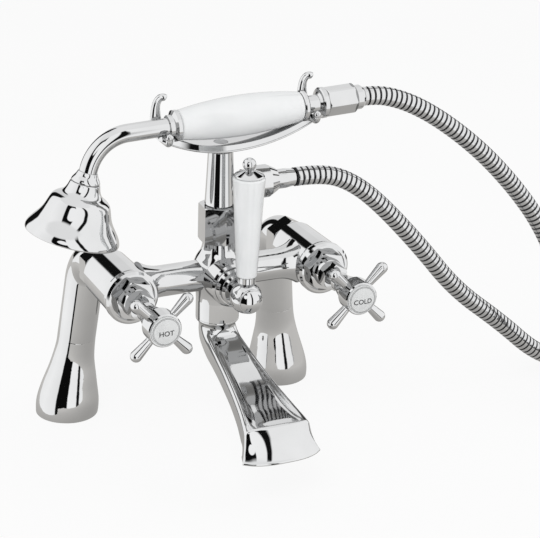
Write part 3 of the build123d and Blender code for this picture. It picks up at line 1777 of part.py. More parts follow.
# Hose: ribbed where it hangs, plain in the coil put away on the deck
def hose_path(points):
    """Straight runs with rounded corners, each as round as its shorter run allows."""
    radii = []
    for before, corner, after in zip(points, points[1:], points[2:]):
        half_turn = radians((corner - before).get_angle(after - corner)) / 2
        shorter = min((corner - before).length, (after - corner).length)
        radii.append(run_share * shorter / tan(half_turn))
    print("hose arc radii", [round(radius, 1) for radius in radii])
    with BuildLine():
        run = FilletPolyline(*points, radius=radii)
    return run


def ring_plane(run, along):
    """The plane square to the hose at a length along it, its X axis kept steady."""
    return Plane(
        origin=run.position_at(along, position_mode=PositionMode.LENGTH),
        x_dir=(0, 1, 0),
        z_dir=run.tangent_at(along, position_mode=PositionMode.LENGTH),
    )


outlet_end = Vector(outlet_ferrule_end + seat_gap, bar_y, outlet_height)
coil_start = Vector(coil_x, bar_y, hose_lay)
lower_points = [outlet_end]
for reach, height_share in zip(lower_reaches, lower_height_shares):
    lower_points.append(Vector(reach, bar_y, hose_lay + height_share * (outlet_height - hose_lay)))
lower_points.append(coil_start)
lower_run = hose_path(lower_points)

coil_length = 0
with BuildLine() as coil_line:
    turn_start = coil_start
    side = 1
    for radius, end_height in coil_turns:
        turn_end = Vector(coil_x, turn_start.Y - side * 2 * radius, end_height)
        reach = (turn_end - turn_start).length / 2
        turn_middle = (turn_start + turn_end) / 2 + Vector(side * reach, 0, 0)
        half_turn = ThreePointArc(turn_start, turn_middle, turn_end)
        coil_length += half_turn.length
        turn_start = turn_end
        side = -side
coil_end = turn_start

hose_up_start = handset.from_local_coords(Vector(hose_start, 0, 0))
hose_up_corner = handset.from_local_coords(Vector(hose_start + upper_straight, 0, 0))
upper_points = [hose_up_start, hose_up_corner]
upper_rows = tuple(zip(upper_reaches, upper_aheads, upper_height_shares))
for reach, ahead, height_share in reversed(upper_rows):
    height = hose_lay + height_share * (handset_height - hose_lay)
    upper_points.append(Vector(reach, bar_y - ahead, height))
upper_points.append(coil_end)
upper_run = hose_path(upper_points)

for run, ribbed, label in ((lower_run, lower_ribbed, "hose_lower"), (upper_run, upper_ribbed, "hose_upper")):
    with BuildPart() as hose:
        ribs = round(ribbed / rib_pitch)
        for rib in range(ribs):
            for place_share, sink_share in rib_shares:
                with BuildSketch(ring_plane(run, (rib + place_share) * rib_pitch)):
                    Circle(hose_radius - sink_share * rib_height)
        with BuildSketch(ring_plane(run, ribs * rib_pitch)):
            Circle(hose_radius)
        loft(ruled=True)
        with BuildSketch(ring_plane(run, ribs * rib_pitch)):
            Circle(hose_radius)
        sweep(path=run.trim(ribs * rib_pitch / run.length, 1))
        with BuildSketch(ring_plane(run, 0)):
            Circle(hose_bore)
        sweep(path=run, mode=Mode.SUBTRACT)
    finish(hose, label)

with BuildPart() as hose_coil:
    with BuildSketch(Plane(origin=coil_start, x_dir=(0, 1, 0), z_dir=(1, 0, 0))):
        Circle(hose_radius)
        Circle(hose_bore, mode=Mode.SUBTRACT)
    sweep(path=coil_line.line)
finish(hose_coil, "hose_coil")

# How close the coil comes to itself
places = [coil_line.line @ (step / coil_samples) for step in range(coil_samples + 1)]
apart = round(coil_samples * coil_near_share)
least = min(
    (places[first] - places[second]).length
    for first in range(coil_samples + 1)
    for second in range(first + apart, coil_samples + 1)
)
print("coil gap to itself", round(least - 2 * hose_radius, 2))
print("hose length", round(lower_run.length + coil_length + upper_run.length))
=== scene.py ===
"""Looks for the bath shower mixer: camera, finishes, hose, words, finer forms and studio.

Metres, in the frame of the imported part: the deck at Z = 0, the cold side +X, the front -Y.
The rings of the spout and the horns and the profiles of the bell are in millimetres.
"""

import json
import math

import bmesh
import bpy
from mathutils import Matrix, Vector


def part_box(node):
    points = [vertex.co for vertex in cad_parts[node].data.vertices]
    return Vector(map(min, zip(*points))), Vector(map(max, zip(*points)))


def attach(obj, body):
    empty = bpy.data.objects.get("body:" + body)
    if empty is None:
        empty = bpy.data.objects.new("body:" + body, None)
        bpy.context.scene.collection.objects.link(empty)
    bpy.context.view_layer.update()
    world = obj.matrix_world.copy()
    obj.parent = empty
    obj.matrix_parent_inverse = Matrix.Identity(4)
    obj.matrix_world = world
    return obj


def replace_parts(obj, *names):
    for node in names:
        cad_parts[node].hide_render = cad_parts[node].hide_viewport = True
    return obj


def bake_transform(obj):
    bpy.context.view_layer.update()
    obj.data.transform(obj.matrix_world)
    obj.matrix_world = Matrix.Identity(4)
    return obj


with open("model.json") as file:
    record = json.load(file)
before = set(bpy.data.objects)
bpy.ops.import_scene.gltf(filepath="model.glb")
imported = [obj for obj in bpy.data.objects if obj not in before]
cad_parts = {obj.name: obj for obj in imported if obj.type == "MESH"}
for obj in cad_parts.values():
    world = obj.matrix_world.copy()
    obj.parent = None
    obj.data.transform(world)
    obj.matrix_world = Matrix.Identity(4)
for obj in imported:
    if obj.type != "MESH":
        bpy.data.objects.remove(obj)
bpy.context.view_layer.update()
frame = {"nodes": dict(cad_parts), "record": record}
nodes = frame["nodes"]

# Places that several parts share
BAR_Y = -0.08
VALVE_X = 0.076
VALVE_HEIGHT = 0.133
HANDSET_AXIS_HEIGHT = 0.2521
HANDSET_TILT = math.radians(2.0)


def handset_point(along):
    """A point of the handset's axis, this far from the middle of the mixer."""
    return Vector(
        (
            along * math.cos(HANDSET_TILT),
            BAR_Y,
            HANDSET_AXIS_HEIGHT + along * math.sin(HANDSET_TILT),
        )
    )


# Camera, fitted to the photograph
CAMERA_TARGET = Vector((0.08094, 0.0, 0.0921))
CAMERA_AZIMUTH = math.radians(-25.78)
CAMERA_ELEVATION = math.radians(22.66)
CAMERA_ROLL = math.radians(1.81)
CAMERA_DISTANCE = 1.6732
CAMERA_LENS = 141.39
SENSOR_WIDTH = 36.0


def place_camera():
    back = Vector(
        (
            math.sin(CAMERA_AZIMUTH) * math.cos(CAMERA_ELEVATION),
            -math.cos(CAMERA_AZIMUTH) * math.cos(CAMERA_ELEVATION),
            math.sin(CAMERA_ELEVATION),
        )
    )
    level = Vector((math.cos(CAMERA_AZIMUTH), math.sin(CAMERA_AZIMUTH), 0))
    up = back.cross(level)
    right = level * math.cos(CAMERA_ROLL) + up * math.sin(CAMERA_ROLL)
    top = up * math.cos(CAMERA_ROLL) - level * math.sin(CAMERA_ROLL)
    turn = Matrix((right, top, back)).transposed().to_4x4()
    data = bpy.data.cameras.new("camera")
    data.sensor_width = SENSOR_WIDTH
    data.lens = CAMERA_LENS
    camera = bpy.data.objects.new("camera", data)
    bpy.context.scene.collection.objects.link(camera)
    camera.matrix_world = Matrix.Translation(CAMERA_TARGET + back * CAMERA_DISTANCE) @ turn
    bpy.context.scene.camera = camera


# Shader nodes
NOISE_LOW = 0.3
NOISE_HIGH = 0.7
TINT_LOW = 0.35
TINT_HIGH = 0.65


def feed(tree, socket, value):
    """Sets a socket to a number, or links another node's output to it."""
    if isinstance(value, (int, float)):
        socket.default_value = value
    else:
        tree.links.new(value, socket)


def calculate(tree, operation, *values):
    """The result of a math node."""
    node = tree.nodes.new("ShaderNodeMath")
    node.operation = operation
    for socket, value in zip(node.inputs, values):
        feed(tree, socket, value)
    return node.outputs[0]


class Look:
    """A material's node tree, with short calls for what the finishes below share."""

    def __init__(self, name):
        self.material = bpy.data.materials.new(name)
        self.material.use_nodes = True
        self.tree = self.material.node_tree
        self.shader = self.tree.nodes["Principled BSDF"]
        self.coords = self.tree.nodes.new("ShaderNodeTexCoord").outputs["Object"]

    def set(self, **values):
        for name, value in values.items():
            self.shader.inputs[name.replace("_", " ")].default_value = value

    def link(self, source, target):
        self.tree.links.new(source, target)

    def noise(self, scale, detail=4.0):
        node = self.tree.nodes.new("ShaderNodeTexNoise")
        node.inputs["Scale"].default_value = scale
        node.inputs["Detail"].default_value = detail
        self.link(self.coords, node.inputs["Vector"])
        return node.outputs["Fac"]

    def ramp(self, source, low, high, start=NOISE_LOW, end=NOISE_HIGH):
        """Stretches a value's range from start to end over low to high."""
        node = self.tree.nodes.new("ShaderNodeMapRange")
        node.inputs["From Min"].default_value = start
        node.inputs["From Max"].default_value = end
        node.inputs["To Min"].default_value = low
        node.inputs["To Max"].default_value = high
        self.link(source, node.inputs["Value"])
        return node.outputs["Result"]

    def tint(self, source, low, high):
        """The base colour, cloudy between two colours."""
        node = self.tree.nodes.new("ShaderNodeValToRGB")
        stops = node.color_ramp.elements
        stops[0].position = TINT_LOW
        stops[0].color = (*low, 1)
        stops[1].position = TINT_HIGH
        stops[1].color = (*high, 1)
        self.link(source, node.inputs["Fac"])
        self.link(node.outputs["Color"], self.shader.inputs["Base Color"])

    def roughness(self, source, low, high):
        self.link(self.ramp(source, low, high), self.shader.inputs["Roughness"])

    def bump(self, source, strength, distance):
        node = self.tree.nodes.new("ShaderNodeBump")
        node.inputs["Strength"].default_value = strength
        node.inputs["Distance"].default_value = distance
        self.link(source, node.inputs["Height"])
        self.link(node.outputs["Normal"], self.shader.inputs["Normal"])


# Finishes
def metal(name, low, high, smooth, rough):
    """A plated or bare metal: cloudy polish and a very faint wave in the surface."""
    look = Look(name)
    look.set(Metallic=1.0)
    look.tint(look.noise(scale=45.0), low, high)
    look.roughness(look.noise(scale=140.0, detail=6.0), smooth, rough)
    look.bump(look.noise(scale=28.0, detail=2.0), strength=0.25, distance=0.00004)
    return look.material


def glaze(name, low, high):
    """White glazed ceramic: a clear hard glaze over a faintly uneven body."""
    look = Look(name)
    look.set(Coat_Weight=0.6, Coat_Roughness=0.03, Coat_IOR=1.5, Specular_IOR_Level=0.5)
    look.tint(look.noise(scale=60.0), low, high)
    look.roughness(look.noise(scale=90.0), 0.12, 0.2)
    look.bump(look.noise(scale=35.0, detail=2.0), strength=0.12, distance=0.00002)
    return look.material


def matt(name, low, high, smooth, rough, grain, depth):
    """A dull solid, such as rubber, fibre or lapped ceramic."""
    look = Look(name)
    look.tint(look.noise(scale=grain), low, high)
    look.roughness(look.noise(scale=grain * 2.5), smooth, rough)
    look.bump(look.noise(scale=grain * 4.0), strength=0.5, distance=depth)
    return look.material


FINISHES = {
    "chrome": metal("chrome", (0.84, 0.845, 0.85), (0.88, 0.885, 0.89), 0.02, 0.045),
    "hose_metal": metal("hose_metal", (0.82, 0.825, 0.83), (0.87, 0.875, 0.88), 0.12, 0.18),
    "rose_face": metal("rose_face", (0.70, 0.71, 0.72), (0.78, 0.79, 0.80), 0.08, 0.14),
    "steel": metal("steel", (0.50, 0.51, 0.52), (0.60, 0.61, 0.62), 0.22, 0.34),
    "brass": metal("brass", (0.66, 0.48, 0.20), (0.76, 0.58, 0.28), 0.20, 0.32),
    "white_ceramic": glaze("white_ceramic", (0.90, 0.915, 0.92), (0.93, 0.94, 0.945)),
    "index_enamel": glaze("index_enamel", (0.78, 0.79, 0.79), (0.82, 0.83, 0.83)),
    "rubber": matt("rubber", (0.02, 0.02, 0.02), (0.04, 0.04, 0.04), 0.55, 0.75, 300.0, 0.00005),
    "fibre": matt("fibre", (0.34, 0.10, 0.06), (0.46, 0.16, 0.10), 0.6, 0.8, 400.0, 0.0001),
    "valve_ceramic": matt(
        "valve_ceramic", (0.78, 0.75, 0.68), (0.84, 0.81, 0.75), 0.25, 0.4, 260.0, 0.00002
    ),
}
# Painted shade: a dark metal for the hose's groove faces, standing in for the shadow inside the
# grooves
PAINTED_GROOVE_SHADE = metal("hose_groove_painted_shade", (0.05, 0.05, 0.052), (0.09, 0.09, 0.095), 0.3, 0.45)
INK = matt("ink", (0.02, 0.02, 0.022), (0.035, 0.035, 0.038), 0.35, 0.5, 500.0, 0.00001)


def wear(piece, finish):
    """Gives a piece one of the finishes."""
    piece.data.materials.clear()
    piece.data.materials.append(FINISHES[finish])


# Meshes
def place(name, mesh):
    """A mesh as an object in the scene."""
    piece = bpy.data.objects.new(name, mesh)
    bpy.context.scene.collection.objects.link(piece)
    return piece


def place_shape(name, shape):
    """A finished bmesh as an object in the scene."""
    mesh = bpy.data.meshes.new(name)
    shape.to_mesh(mesh)
    shape.free()
    return place(name, mesh)


def place_chrome(name, shape, body):
    """A finished bmesh as a chromed piece that rides a body."""
    bmesh.ops.recalc_face_normals(shape, faces=shape.faces)
    piece = place_shape(name, shape)
    wear(piece, "chrome")
    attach(piece, body)
    return piece


def oval(shape, centre, side, up, wide, deep, points):
    """A ring of points round a centre, with a radius along each of two directions."""
    ring = []
    for number in range(points):
        turn = 2 * math.pi * number / points
        out = side * math.cos(turn) * wide + up * math.sin(turn) * deep
        ring.append(shape.verts.new(centre + out))
    return ring


def skin(shape, rings):
    """Smooth faces from each ring to the next."""
    for before, after in zip(rings, rings[1:]):
        count = len(before)
        for index in range(count):
            following = (index + 1) % count
            face = shape.faces.new(
                (before[index], before[following], after[following], after[index])
            )
            face.smooth = True


def cap(shape, rings):
    """A flat face on each end."""
    shape.faces.new(list(reversed(rings[0])))
    shape.faces.new(rings[-1])


def chrome_tube(name, centres, sides, ups, sizes, body, points):
    """A chromed tube with closed ends, each ring with its own directions and radii."""
    shape = bmesh.new()
    rings = []
    for centre, side, up, (wide, deep) in zip(centres, sides, ups, sizes):
        rings.append(oval(shape, centre, side, up, wide, deep, points))
    skin(shape, rings)
    cap(shape, rings)
    place_chrome(name, shape, body)


LEAST_DISTANCE = 1e-6


def row_distance(start, end):
    """How far apart two rows are, by their first four columns."""
    return max(math.dist(start[:4], end[:4]), LEAST_DISTANCE)


def between(rows, steps):
    """Smooth rows through a table's rows, as many to each gap as there are steps."""
    full = []
    for index in range(len(rows) - 1):
        before = rows[max(index - 1, 0)]
        start, end = rows[index], rows[index + 1]
        after = rows[min(index + 2, len(rows) - 1)]
        reach = row_distance(start, end)
        behind = row_distance(before, start)
        onward = row_distance(end, after)
        for step in range(steps):
            share = step / steps
            row = []
            for last, here, there, beyond in zip(before, start, end, after):
                leave = arrive = (there - here) / reach
                if index:
                    leave = (there - last) / (behind + reach)
                if index < len(rows) - 2:
                    arrive = (beyond - here) / (reach + onward)
                row.append(
                    here * (2 * share**3 - 3 * share**2 + 1)
                    + leave * reach * (share**3 - 2 * share**2 + share)
                    + there * (3 * share**2 - 2 * share**3)
                    + arrive * reach * (share**3 - share**2)
                )
            full.append(row)
    full.append(list(rows[-1]))
    return full


# Hose, on the route of the part's tubes
HOSE_RADIUS = 0.007
HOSE_LAY = 0.0072
OUTLET_END = Vector((0.0593, BAR_Y, 0.200))
LOWER_CORNERS = (
    (0.0805, 0.2000),
    (0.1025, 0.1930),
    (0.1280, 0.1740),
    (0.1680, 0.1310),
    (0.2030, 0.0880),
    (0.2470, 0.0530),
    (0.2820, 0.0205),
    (0.3100, 0.0092),
    (0.3460, HOSE_LAY),
)
COIL_START = Vector((0.382, BAR_Y, HOSE_LAY))
COIL_TURNS = ((0.0620, HOSE_LAY), (0.0694, 0.0260), (0.0768, HOSE_LAY))
COIL_STEPS = 12
RISING_CORNERS = (
    (0.3495, -0.2188, HOSE_LAY),
    (0.3190, -0.2063, 0.0115),
    (0.2955, -0.1830, 0.0205),
    (0.2835, -0.1525, 0.0340),
    (0.2880, -0.1220, 0.0530),
    (0.2915, -0.0990, 0.0780),
    (0.2890, -0.0840, 0.1080),
)
UPPER_CORNERS = (
    (0.2735, 0.1380),
    (0.2505, 0.1670),
    (0.2220, 0.1970),
    (0.1910, 0.2229),
    (0.1620, 0.2423),
    (0.1381, 0.2529),
)
HOSE_START = 0.1045
HOSE_STRAIGHT = 0.016
LINE_ORDER = 3
LINE_STEPS = 12
# Ribs along the hose, each a groove and then a rib with a slight crown
RIB_PITCH = 0.0044
RIB_DEPTH = 0.0010
RIB_CROWN = 0.06
RIB_CROWN_POWER = 4
RINGS_PER_RIB = 8
GROOVE_RINGS = 3
GROOVE_SHARE = GROOVE_RINGS / RINGS_PER_RIB
HOSE_POINTS = 32


def route(name, points):
    """The hose's line as one smooth open spline."""
    data = bpy.data.curves.new(name, "CURVE")
    data.dimensions = "3D"
    data.resolution_u = LINE_STEPS
    spline = data.splines.new("NURBS")
    spline.points.add(len(points) - 1)
    for control, point in zip(spline.points, points):
        control.co = (*point, 1)
    spline.order_u = LINE_ORDER
    spline.use_endpoint_u = True
    curve = bpy.data.objects.new(name, data)
    mesh = bpy.data.meshes.new_from_object(curve)
    line = [vertex.co.copy() for vertex in mesh.vertices]
    bpy.data.meshes.remove(mesh)
    bpy.data.objects.remove(curve)
    return line


def even(line, step):
    """Points at even distances along a line, about a step apart, and the line's length."""
    lengths = [0.0]
    for before, after in zip(line, line[1:]):
        lengths.append(lengths[-1] + (after - before).length)
    count = round(lengths[-1] / step)
    places = []
    index = 0
    for number in range(count + 1):
        along = lengths[-1] * number / count
        while index < len(line) - 2 and lengths[index + 1] < along:
            index += 1
        share = (along - lengths[index]) / (lengths[index + 1] - lengths[index])
        places.append(line[index].lerp(line[index + 1], share))
    return places, lengths[-1]


def rib_height(share):
    """The surface's height at a share of a rib's pitch, as a share of the rib's depth."""
    if share < GROOVE_SHARE:
        return -math.sin(math.pi * share / GROOVE_SHARE)
    across = 2 * (share - GROOVE_SHARE) / (1 - GROOVE_SHARE) - 1
    return -RIB_CROWN * abs(across) ** RIB_CROWN_POWER


def ribbed_tube(name, line):
    """A flexible metal hose along a line, with its length."""
    places, length = even(line, RIB_PITCH / RINGS_PER_RIB)
    shape = bmesh.new()
    rings = []
    side = Vector((0, 1, 0))
    for number, centre in enumerate(places):
        ahead = places[min(number + 1, len(places) - 1)] - places[max(number - 1, 0)]
        ahead.normalize()
        side = (side - ahead * side.dot(ahead)).normalized()
        radius = HOSE_RADIUS + RIB_DEPTH * rib_height(number / RINGS_PER_RIB % 1.0)
        rings.append(oval(shape, centre, side, ahead.cross(side), radius, radius, HOSE_POINTS))
    skin(shape, rings)
    for number, ring in enumerate(rings):
        if number % RINGS_PER_RIB in (0, GROOVE_RINGS):
            for start, end in zip(ring, ring[1:] + ring[:1]):
                shape.edges.get((start, end)).smooth = False
    cap(shape, rings)
    shape.normal_update()
    return place_shape(name, shape), length


def wear_ribs(tube):
    """Gives the hose its finish, with painted shade in the grooves: a dark metal on the groove
    faces.
    """
    wear(tube, "hose_metal")
    tube.data.materials.append(PAINTED_GROOVE_SHADE)
    for face in tube.data.polygons:
        face.material_index = int(face.index // HOSE_POINTS % RINGS_PER_RIB < GROOVE_RINGS)


def coil_points():
    """The coil's half turns on the deck, and where they end."""
    points = []
    start = COIL_START
    side = 1
    for radius, end_height in COIL_TURNS:
        end = Vector((start.x, start.y - side * 2 * radius, end_height))
        middle = (start + end) / 2
        arm = (start - end) / 2
        for step in range(COIL_STEPS):
            turn = math.pi * (step + 0.5) / COIL_STEPS
            aside = Vector((side * arm.length * math.sin(turn), 0, 0))
            points.append(middle + arm * math.cos(turn) + aside)
        start = end
        side = -side
    return points, start


def make_hose():
    """The lower stretch with its coil, and the upper stretch that runs up to the handset."""
    coil, coil_end = coil_points()
    low_points = [OUTLET_END, *(Vector((x, BAR_Y, z)) for x, z in LOWER_CORNERS), *coil, coil_end]
    low_line = route("hose_low_route", low_points)
    low, low_length = ribbed_tube("hose_low", low_line)
    wear_ribs(low)
    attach(low, "mixer")
    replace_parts(low, "hose_lower", "hose_coil")
    high_points = [
        coil_end,
        *(Vector(corner) for corner in RISING_CORNERS),
        *(Vector((x, BAR_Y, z)) for x, z in UPPER_CORNERS),
        handset_point(HOSE_START + HOSE_STRAIGHT),
        handset_point(HOSE_START),
    ]
    high_line = route("hose_high_route", high_points)
    high, high_length = ribbed_tube("hose_high", high_line)
    wear_ribs(high)
    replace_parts(high, "hose_upper")
    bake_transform(high)


# Index discs: a thin double ring and a word on each
DISC_CENTRES = {
    "hot": Vector((-VALVE_X, 0, VALVE_HEIGHT)),
    "cold": Vector((VALVE_X, 0, VALVE_HEIGHT)),
}
WORDS = {"hot": "HOT", "cold": "COLD"}
WORD_SIZE = 0.0052
WORD_DROP = 0.0014
WORD_SPACING = 1.02
WORD_WEIGHT = 0.00007
RING_RADII = (0.0101, 0.0094)
RING_WIDTH = 0.00022
RING_STEPS = 96
DISC_EDGE_RADIUS = 0.0109
DISC_CROWN = 0.0009
INK_RISE = 0.00006


def ink_y(distance, disc_front):
    """The Y at which ink lies on the crowned disc, this far from the disc's centre."""
    return disc_front + DISC_CROWN * (distance / DISC_EDGE_RADIUS) ** 2 - INK_RISE


def make_ring(name, centre, disc_front, radius, body):
    """A thin inked ring that follows the crowned face."""
    shape = bmesh.new()
    inner = []
    outer = []
    for step in range(RING_STEPS):
        turn = 2 * math.pi * step / RING_STEPS
        for row, reach in ((inner, radius - RING_WIDTH / 2), (outer, radius + RING_WIDTH / 2)):
            x = centre.x + reach * math.cos(turn)
            z = centre.z + reach * math.sin(turn)
            row.append(shape.verts.new((x, ink_y(reach, disc_front), z)))
    for step in range(RING_STEPS):
        following = (step + 1) % RING_STEPS
        shape.faces.new((inner[step], inner[following], outer[following], outer[step]))
    shape.normal_update()
    ring = place_shape(name, shape)
    ring.data.materials.append(INK)
    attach(ring, body)


def make_word(name, text, centre, disc_front, body):
    """The disc's word, flat letters bent onto its crowned face."""
    data = bpy.data.curves.new(name, "FONT")
    data.body = text
    data.size = WORD_SIZE
    data.align_x = "CENTER"
    data.align_y = "CENTER"
    data.space_character = WORD_SPACING
    data.offset = WORD_WEIGHT
    letters = bpy.data.objects.new(name + "_letters", data)
    mesh = bpy.data.meshes.new_from_object(letters)
    bpy.data.objects.remove(letters)
    for vertex in mesh.vertices:
        across, up = vertex.co.x, vertex.co.y - WORD_DROP
        y = ink_y(math.hypot(across, up), disc_front)
        vertex.co = (centre.x + across, y, centre.z + up)
    word = place(name, mesh)
    word.data.materials.append(INK)
    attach(word, body)


def make_discs():
    for side, centre in DISC_CENTRES.items():
        disc_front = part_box(f"{side}_index_disc")[0].y
        for number, radius in enumerate(RING_RADII):
            make_ring(f"{side}_ring_{number}", centre, disc_front, radius, f"{side}_handle")
        make_word(f"{side}_word", WORDS[side], centre, disc_front, f"{side}_handle")


# Spout: rings along its run, each between a top and an under point, given as Y and Z of
# each, then its half width, corner radius, the dish of its top, the bow of its front, and
# how much narrower its under side is as a share
SPOUT_RINGS = (
    (-95.9, 98.4, -64.1, 98.4, 15.9, 15.9, 0.0, 0.0, 0.0),
    (-95.9, 97.0, -64.1, 97.0, 15.9, 15.9, 0.0, 0.0, 0.0),
    (-95.5, 96.4, -64.5, 96.4, 15.5, 15.5, 0.0, 0.0, 0.0),
    (-94.3, 94.9, -65.8, 94.9, 14.2, 14.2, 0.0, 0.0, 0.0),
    (-93.6, 93.0, -66.5, 92.6, 13.6, 13.5, 0.0, 0.0, 0.0),
    (-93.5, 91.4, -68.4, 86.8, 13.7, 11.5, 0.0, 0.0, 0.0),
    (-94.2, 89.4, -74.5, 78.4, 13.9, 8.6, 0.6, 0.0, 0.0),
    (-98.6, 86.9, -88.7, 70.0, 14.3, 6.4, 1.4, 0.0, 0.02),
    (-109.6, 83.5, -103.1, 65.8, 14.9, 5.8, 1.9, 0.0, 0.03),
    (-122.8, 79.4, -117.5, 61.6, 15.8, 5.5, 2.1, 0.0, 0.04),
    (-137.2, 75.1, -131.9, 57.3, 17.2, 5.5, 2.2, 0.0, 0.04),
    (-151.5, 70.8, -146.3, 53.0, 19.0, 5.4, 2.2, 0.0, 0.05),
    (-170.7, 65.1, -163.5, 47.1, 22.0, 5.2, 2.0, 0.3, 0.06),
    (-183.0, 61.3, -171.5, 43.5, 24.5, 5.2, 1.2, 1.2, 0.09),
    (-190.0, 59.1, -175.0, 41.1, 26.0, 5.4, 0.2, 2.4, 0.12),
)
NOSE_RINGS = (
    (-190.8, 58.3, -175.4, 40.8, 26.2, 5.4, 0.0, 2.8, 0.13),
    (-192.4, 55.4, -176.2, 40.1, 26.7, 5.6, 0.0, 3.8, 0.15),
    (-195.5, 50.2, -177.0, 39.0, 27.8, 6.2, 0.0, 5.8, 0.18),
    (-199.8, 44.2, -177.6, 37.9, 29.7, 7.2, 0.0, 8.2, 0.22),
    (-203.8, 39.3, -178.0, 37.1, 31.8, 8.4, 0.0, 10.0, 0.26),
    (-205.2, 37.9, -178.2, 36.7, 32.6, 9.0, 0.0, 10.6, 0.27),
)
LIP_RINGS = (
    (-205.5, 37.3, -178.0, 36.3, 32.8, 9.0, 0.0, 10.7, 0.27),
    (-205.3, 36.7, -178.2, 35.9, 32.7, 9.0, 0.0, 10.7, 0.27),
    (-204.6, 36.3, -178.8, 35.7, 32.2, 8.6, 0.0, 10.6, 0.27),
    (-203.7, 36.4, -179.6, 35.9, 31.4, 8.0, 0.0, 10.4, 0.27),
    (-202.9, 37.1, -180.2, 36.6, 30.6, 7.4, 0.0, 10.0, 0.27),
    (-198.8, 42.9, -181.0, 40.8, 27.9, 6.0, 0.0, 7.8, 0.22),
    (-194.0, 49.5, -178.6, 44.4, 25.2, 5.0, 0.0, 5.0, 0.16),
    (-188.0, 54.4, -172.5, 46.4, 23.2, 4.0, 0.0, 2.0, 0.10),
)
RING_CORNER_STEPS = 10
RING_SIDE_STEPS = 16
RING_SUBSTEPS = 5
# The least that a ring keeps straight of half a side
LEAST_FLAT = 1e-3
# The shares of the half width between which the dish rises to the rim
PANEL_START = 0.60
PANEL_END = 0.93
BOW_POWER = 3.0


def ring_outline(half_width, half_depth, corner):
    """A rounded rectangle's points, anticlockwise from the +X end of its under side."""
    corner = min(corner, half_width - LEAST_FLAT, half_depth - LEAST_FLAT)
    flat = half_width - corner
    wall = half_depth - corner
    points = []
    for x_sign, y_sign, turn in ((1, -1, -90), (1, 1, 0), (-1, 1, 90), (-1, -1, 180)):
        for step in range(RING_CORNER_STEPS):
            angle = math.radians(turn + 90 * step / (RING_CORNER_STEPS - 1))
            across = x_sign * flat + corner * math.cos(angle)
            points.append((across, y_sign * wall + corner * math.sin(angle)))
        across, rise = points[-1]
        for step in range(1, RING_SIDE_STEPS):
            share = 1 - 2 * step / RING_SIDE_STEPS
            if y_sign == -x_sign:
                points.append((across, rise * share))
            else:
                points.append((across * share, rise))
    return points


def ring_points(row):
    """The points of one ring of the spout, in metres."""
    top_y, top_z, under_y, under_z, half_width, corner, dish, bow, taper = row
    middle = Vector((0, (top_y + under_y) / 2, (top_z + under_z) / 2))
    up = Vector((0, top_y - under_y, top_z - under_z))
    half_depth = up.length / 2
    up.normalize()
    places = []
    for across, rise in ring_outline(half_width, half_depth, corner):
        edge = abs(across) / half_width
        high = max(rise / half_depth, 0) ** 2
        panel = min(max((PANEL_END - edge) / (PANEL_END - PANEL_START), 0), 1)
        panel = panel * panel * (3 - 2 * panel)
        lift = rise - dish * panel * high - bow * edge**BOW_POWER * high
        across *= 1 - taper * (1 - rise / half_depth) / 2
        places.append((middle + Vector((across, 0, 0)) + up * lift) / 1000)
    return places


def make_spout():
    """The bath spout: collar, dished tongue with rounded rims, and a flared nose."""
    shape = bmesh.new()
    rings = []
    for rows in (SPOUT_RINGS, NOSE_RINGS, LIP_RINGS):
        for row in between(rows, RING_SUBSTEPS):
            rings.append([shape.verts.new(point) for point in ring_points(row)])
    skin(shape, rings)
    cap(shape, rings)
    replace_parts(place_chrome("spout_shell", shape, "mixer"), "spout")


# Cradle: rings of the horns, each from the fork's middle along X, from the bar along Y and
# from the handset's axis up, with two radii
FORKS = {"left": -0.0444, "right": 0.0710}
HORN_RINGS = (
    (-1.3, 11.6, -3.0, 4.6, 2.7),
    (-1.3, 12.0, 3.0, 4.2, 2.7),
    (-1.1, 12.8, 7.0, 3.7, 2.6),
    (-0.6, 13.6, 10.8, 3.2, 2.5),
    (0.6, 14.0, 14.4, 2.9, 2.4),
    (2.8, 14.1, 17.0, 2.7, 2.4),
    (5.2, 14.1, 17.4, 2.7, 2.6),
    (6.6, 14.1, 16.8, 2.4, 2.3),
    (7.2, 14.1, 16.4, 1.0, 1.0),
)
HORN_SUBSTEPS = 6
HORN_POINTS = 24
# The arm's straight back prongs: how far they reach to each side of a fork, how far behind
# the bar they start, and how far above the handset's axis they are cut off
PRONG_REACH = 0.0046
PRONG_BACK = 0.0055
PRONG_CUT = 0.003
# The arm's under side is an arc to each side of its lowest point
ARM_LOW_X = 0.003
ARM_ENDS = (-0.050, 0.068)
ARM_RADII = (0.115, 0.185)
# The half width of its front edge: in the middle, its slant along X and its bend
ARM_WIDTH = (0.0095, 0.0275, -1.617)
BEAD_RADIUS = 0.0007
BEAD_RISE = 0.0008
BEAD_STEPS = 96
BEAD_POINTS = 12


def make_horn(side, fork):
    """One curled horn of the cradle."""
    base = Vector((fork, BAR_Y, handset_point(fork).z))
    centres = []
    sizes = []
    for across, back, rise, wide, deep in between(HORN_RINGS, HORN_SUBSTEPS):
        centres.append(base + Vector((across, back, rise)) / 1000)
        sizes.append((wide / 1000, deep / 1000))
    sides = []
    ups = []
    for index in range(len(centres)):
        ahead = centres[min(index + 1, len(centres) - 1)] - centres[max(index - 1, 0)]
        ahead.normalize()
        sides.append(Vector((0, 1, 0)).cross(ahead).normalized())
        ups.append(ahead.cross(sides[-1]))
    chrome_tube(f"cradle_horn_{side}", centres, sides, ups, sizes, "mixer", HORN_POINTS)


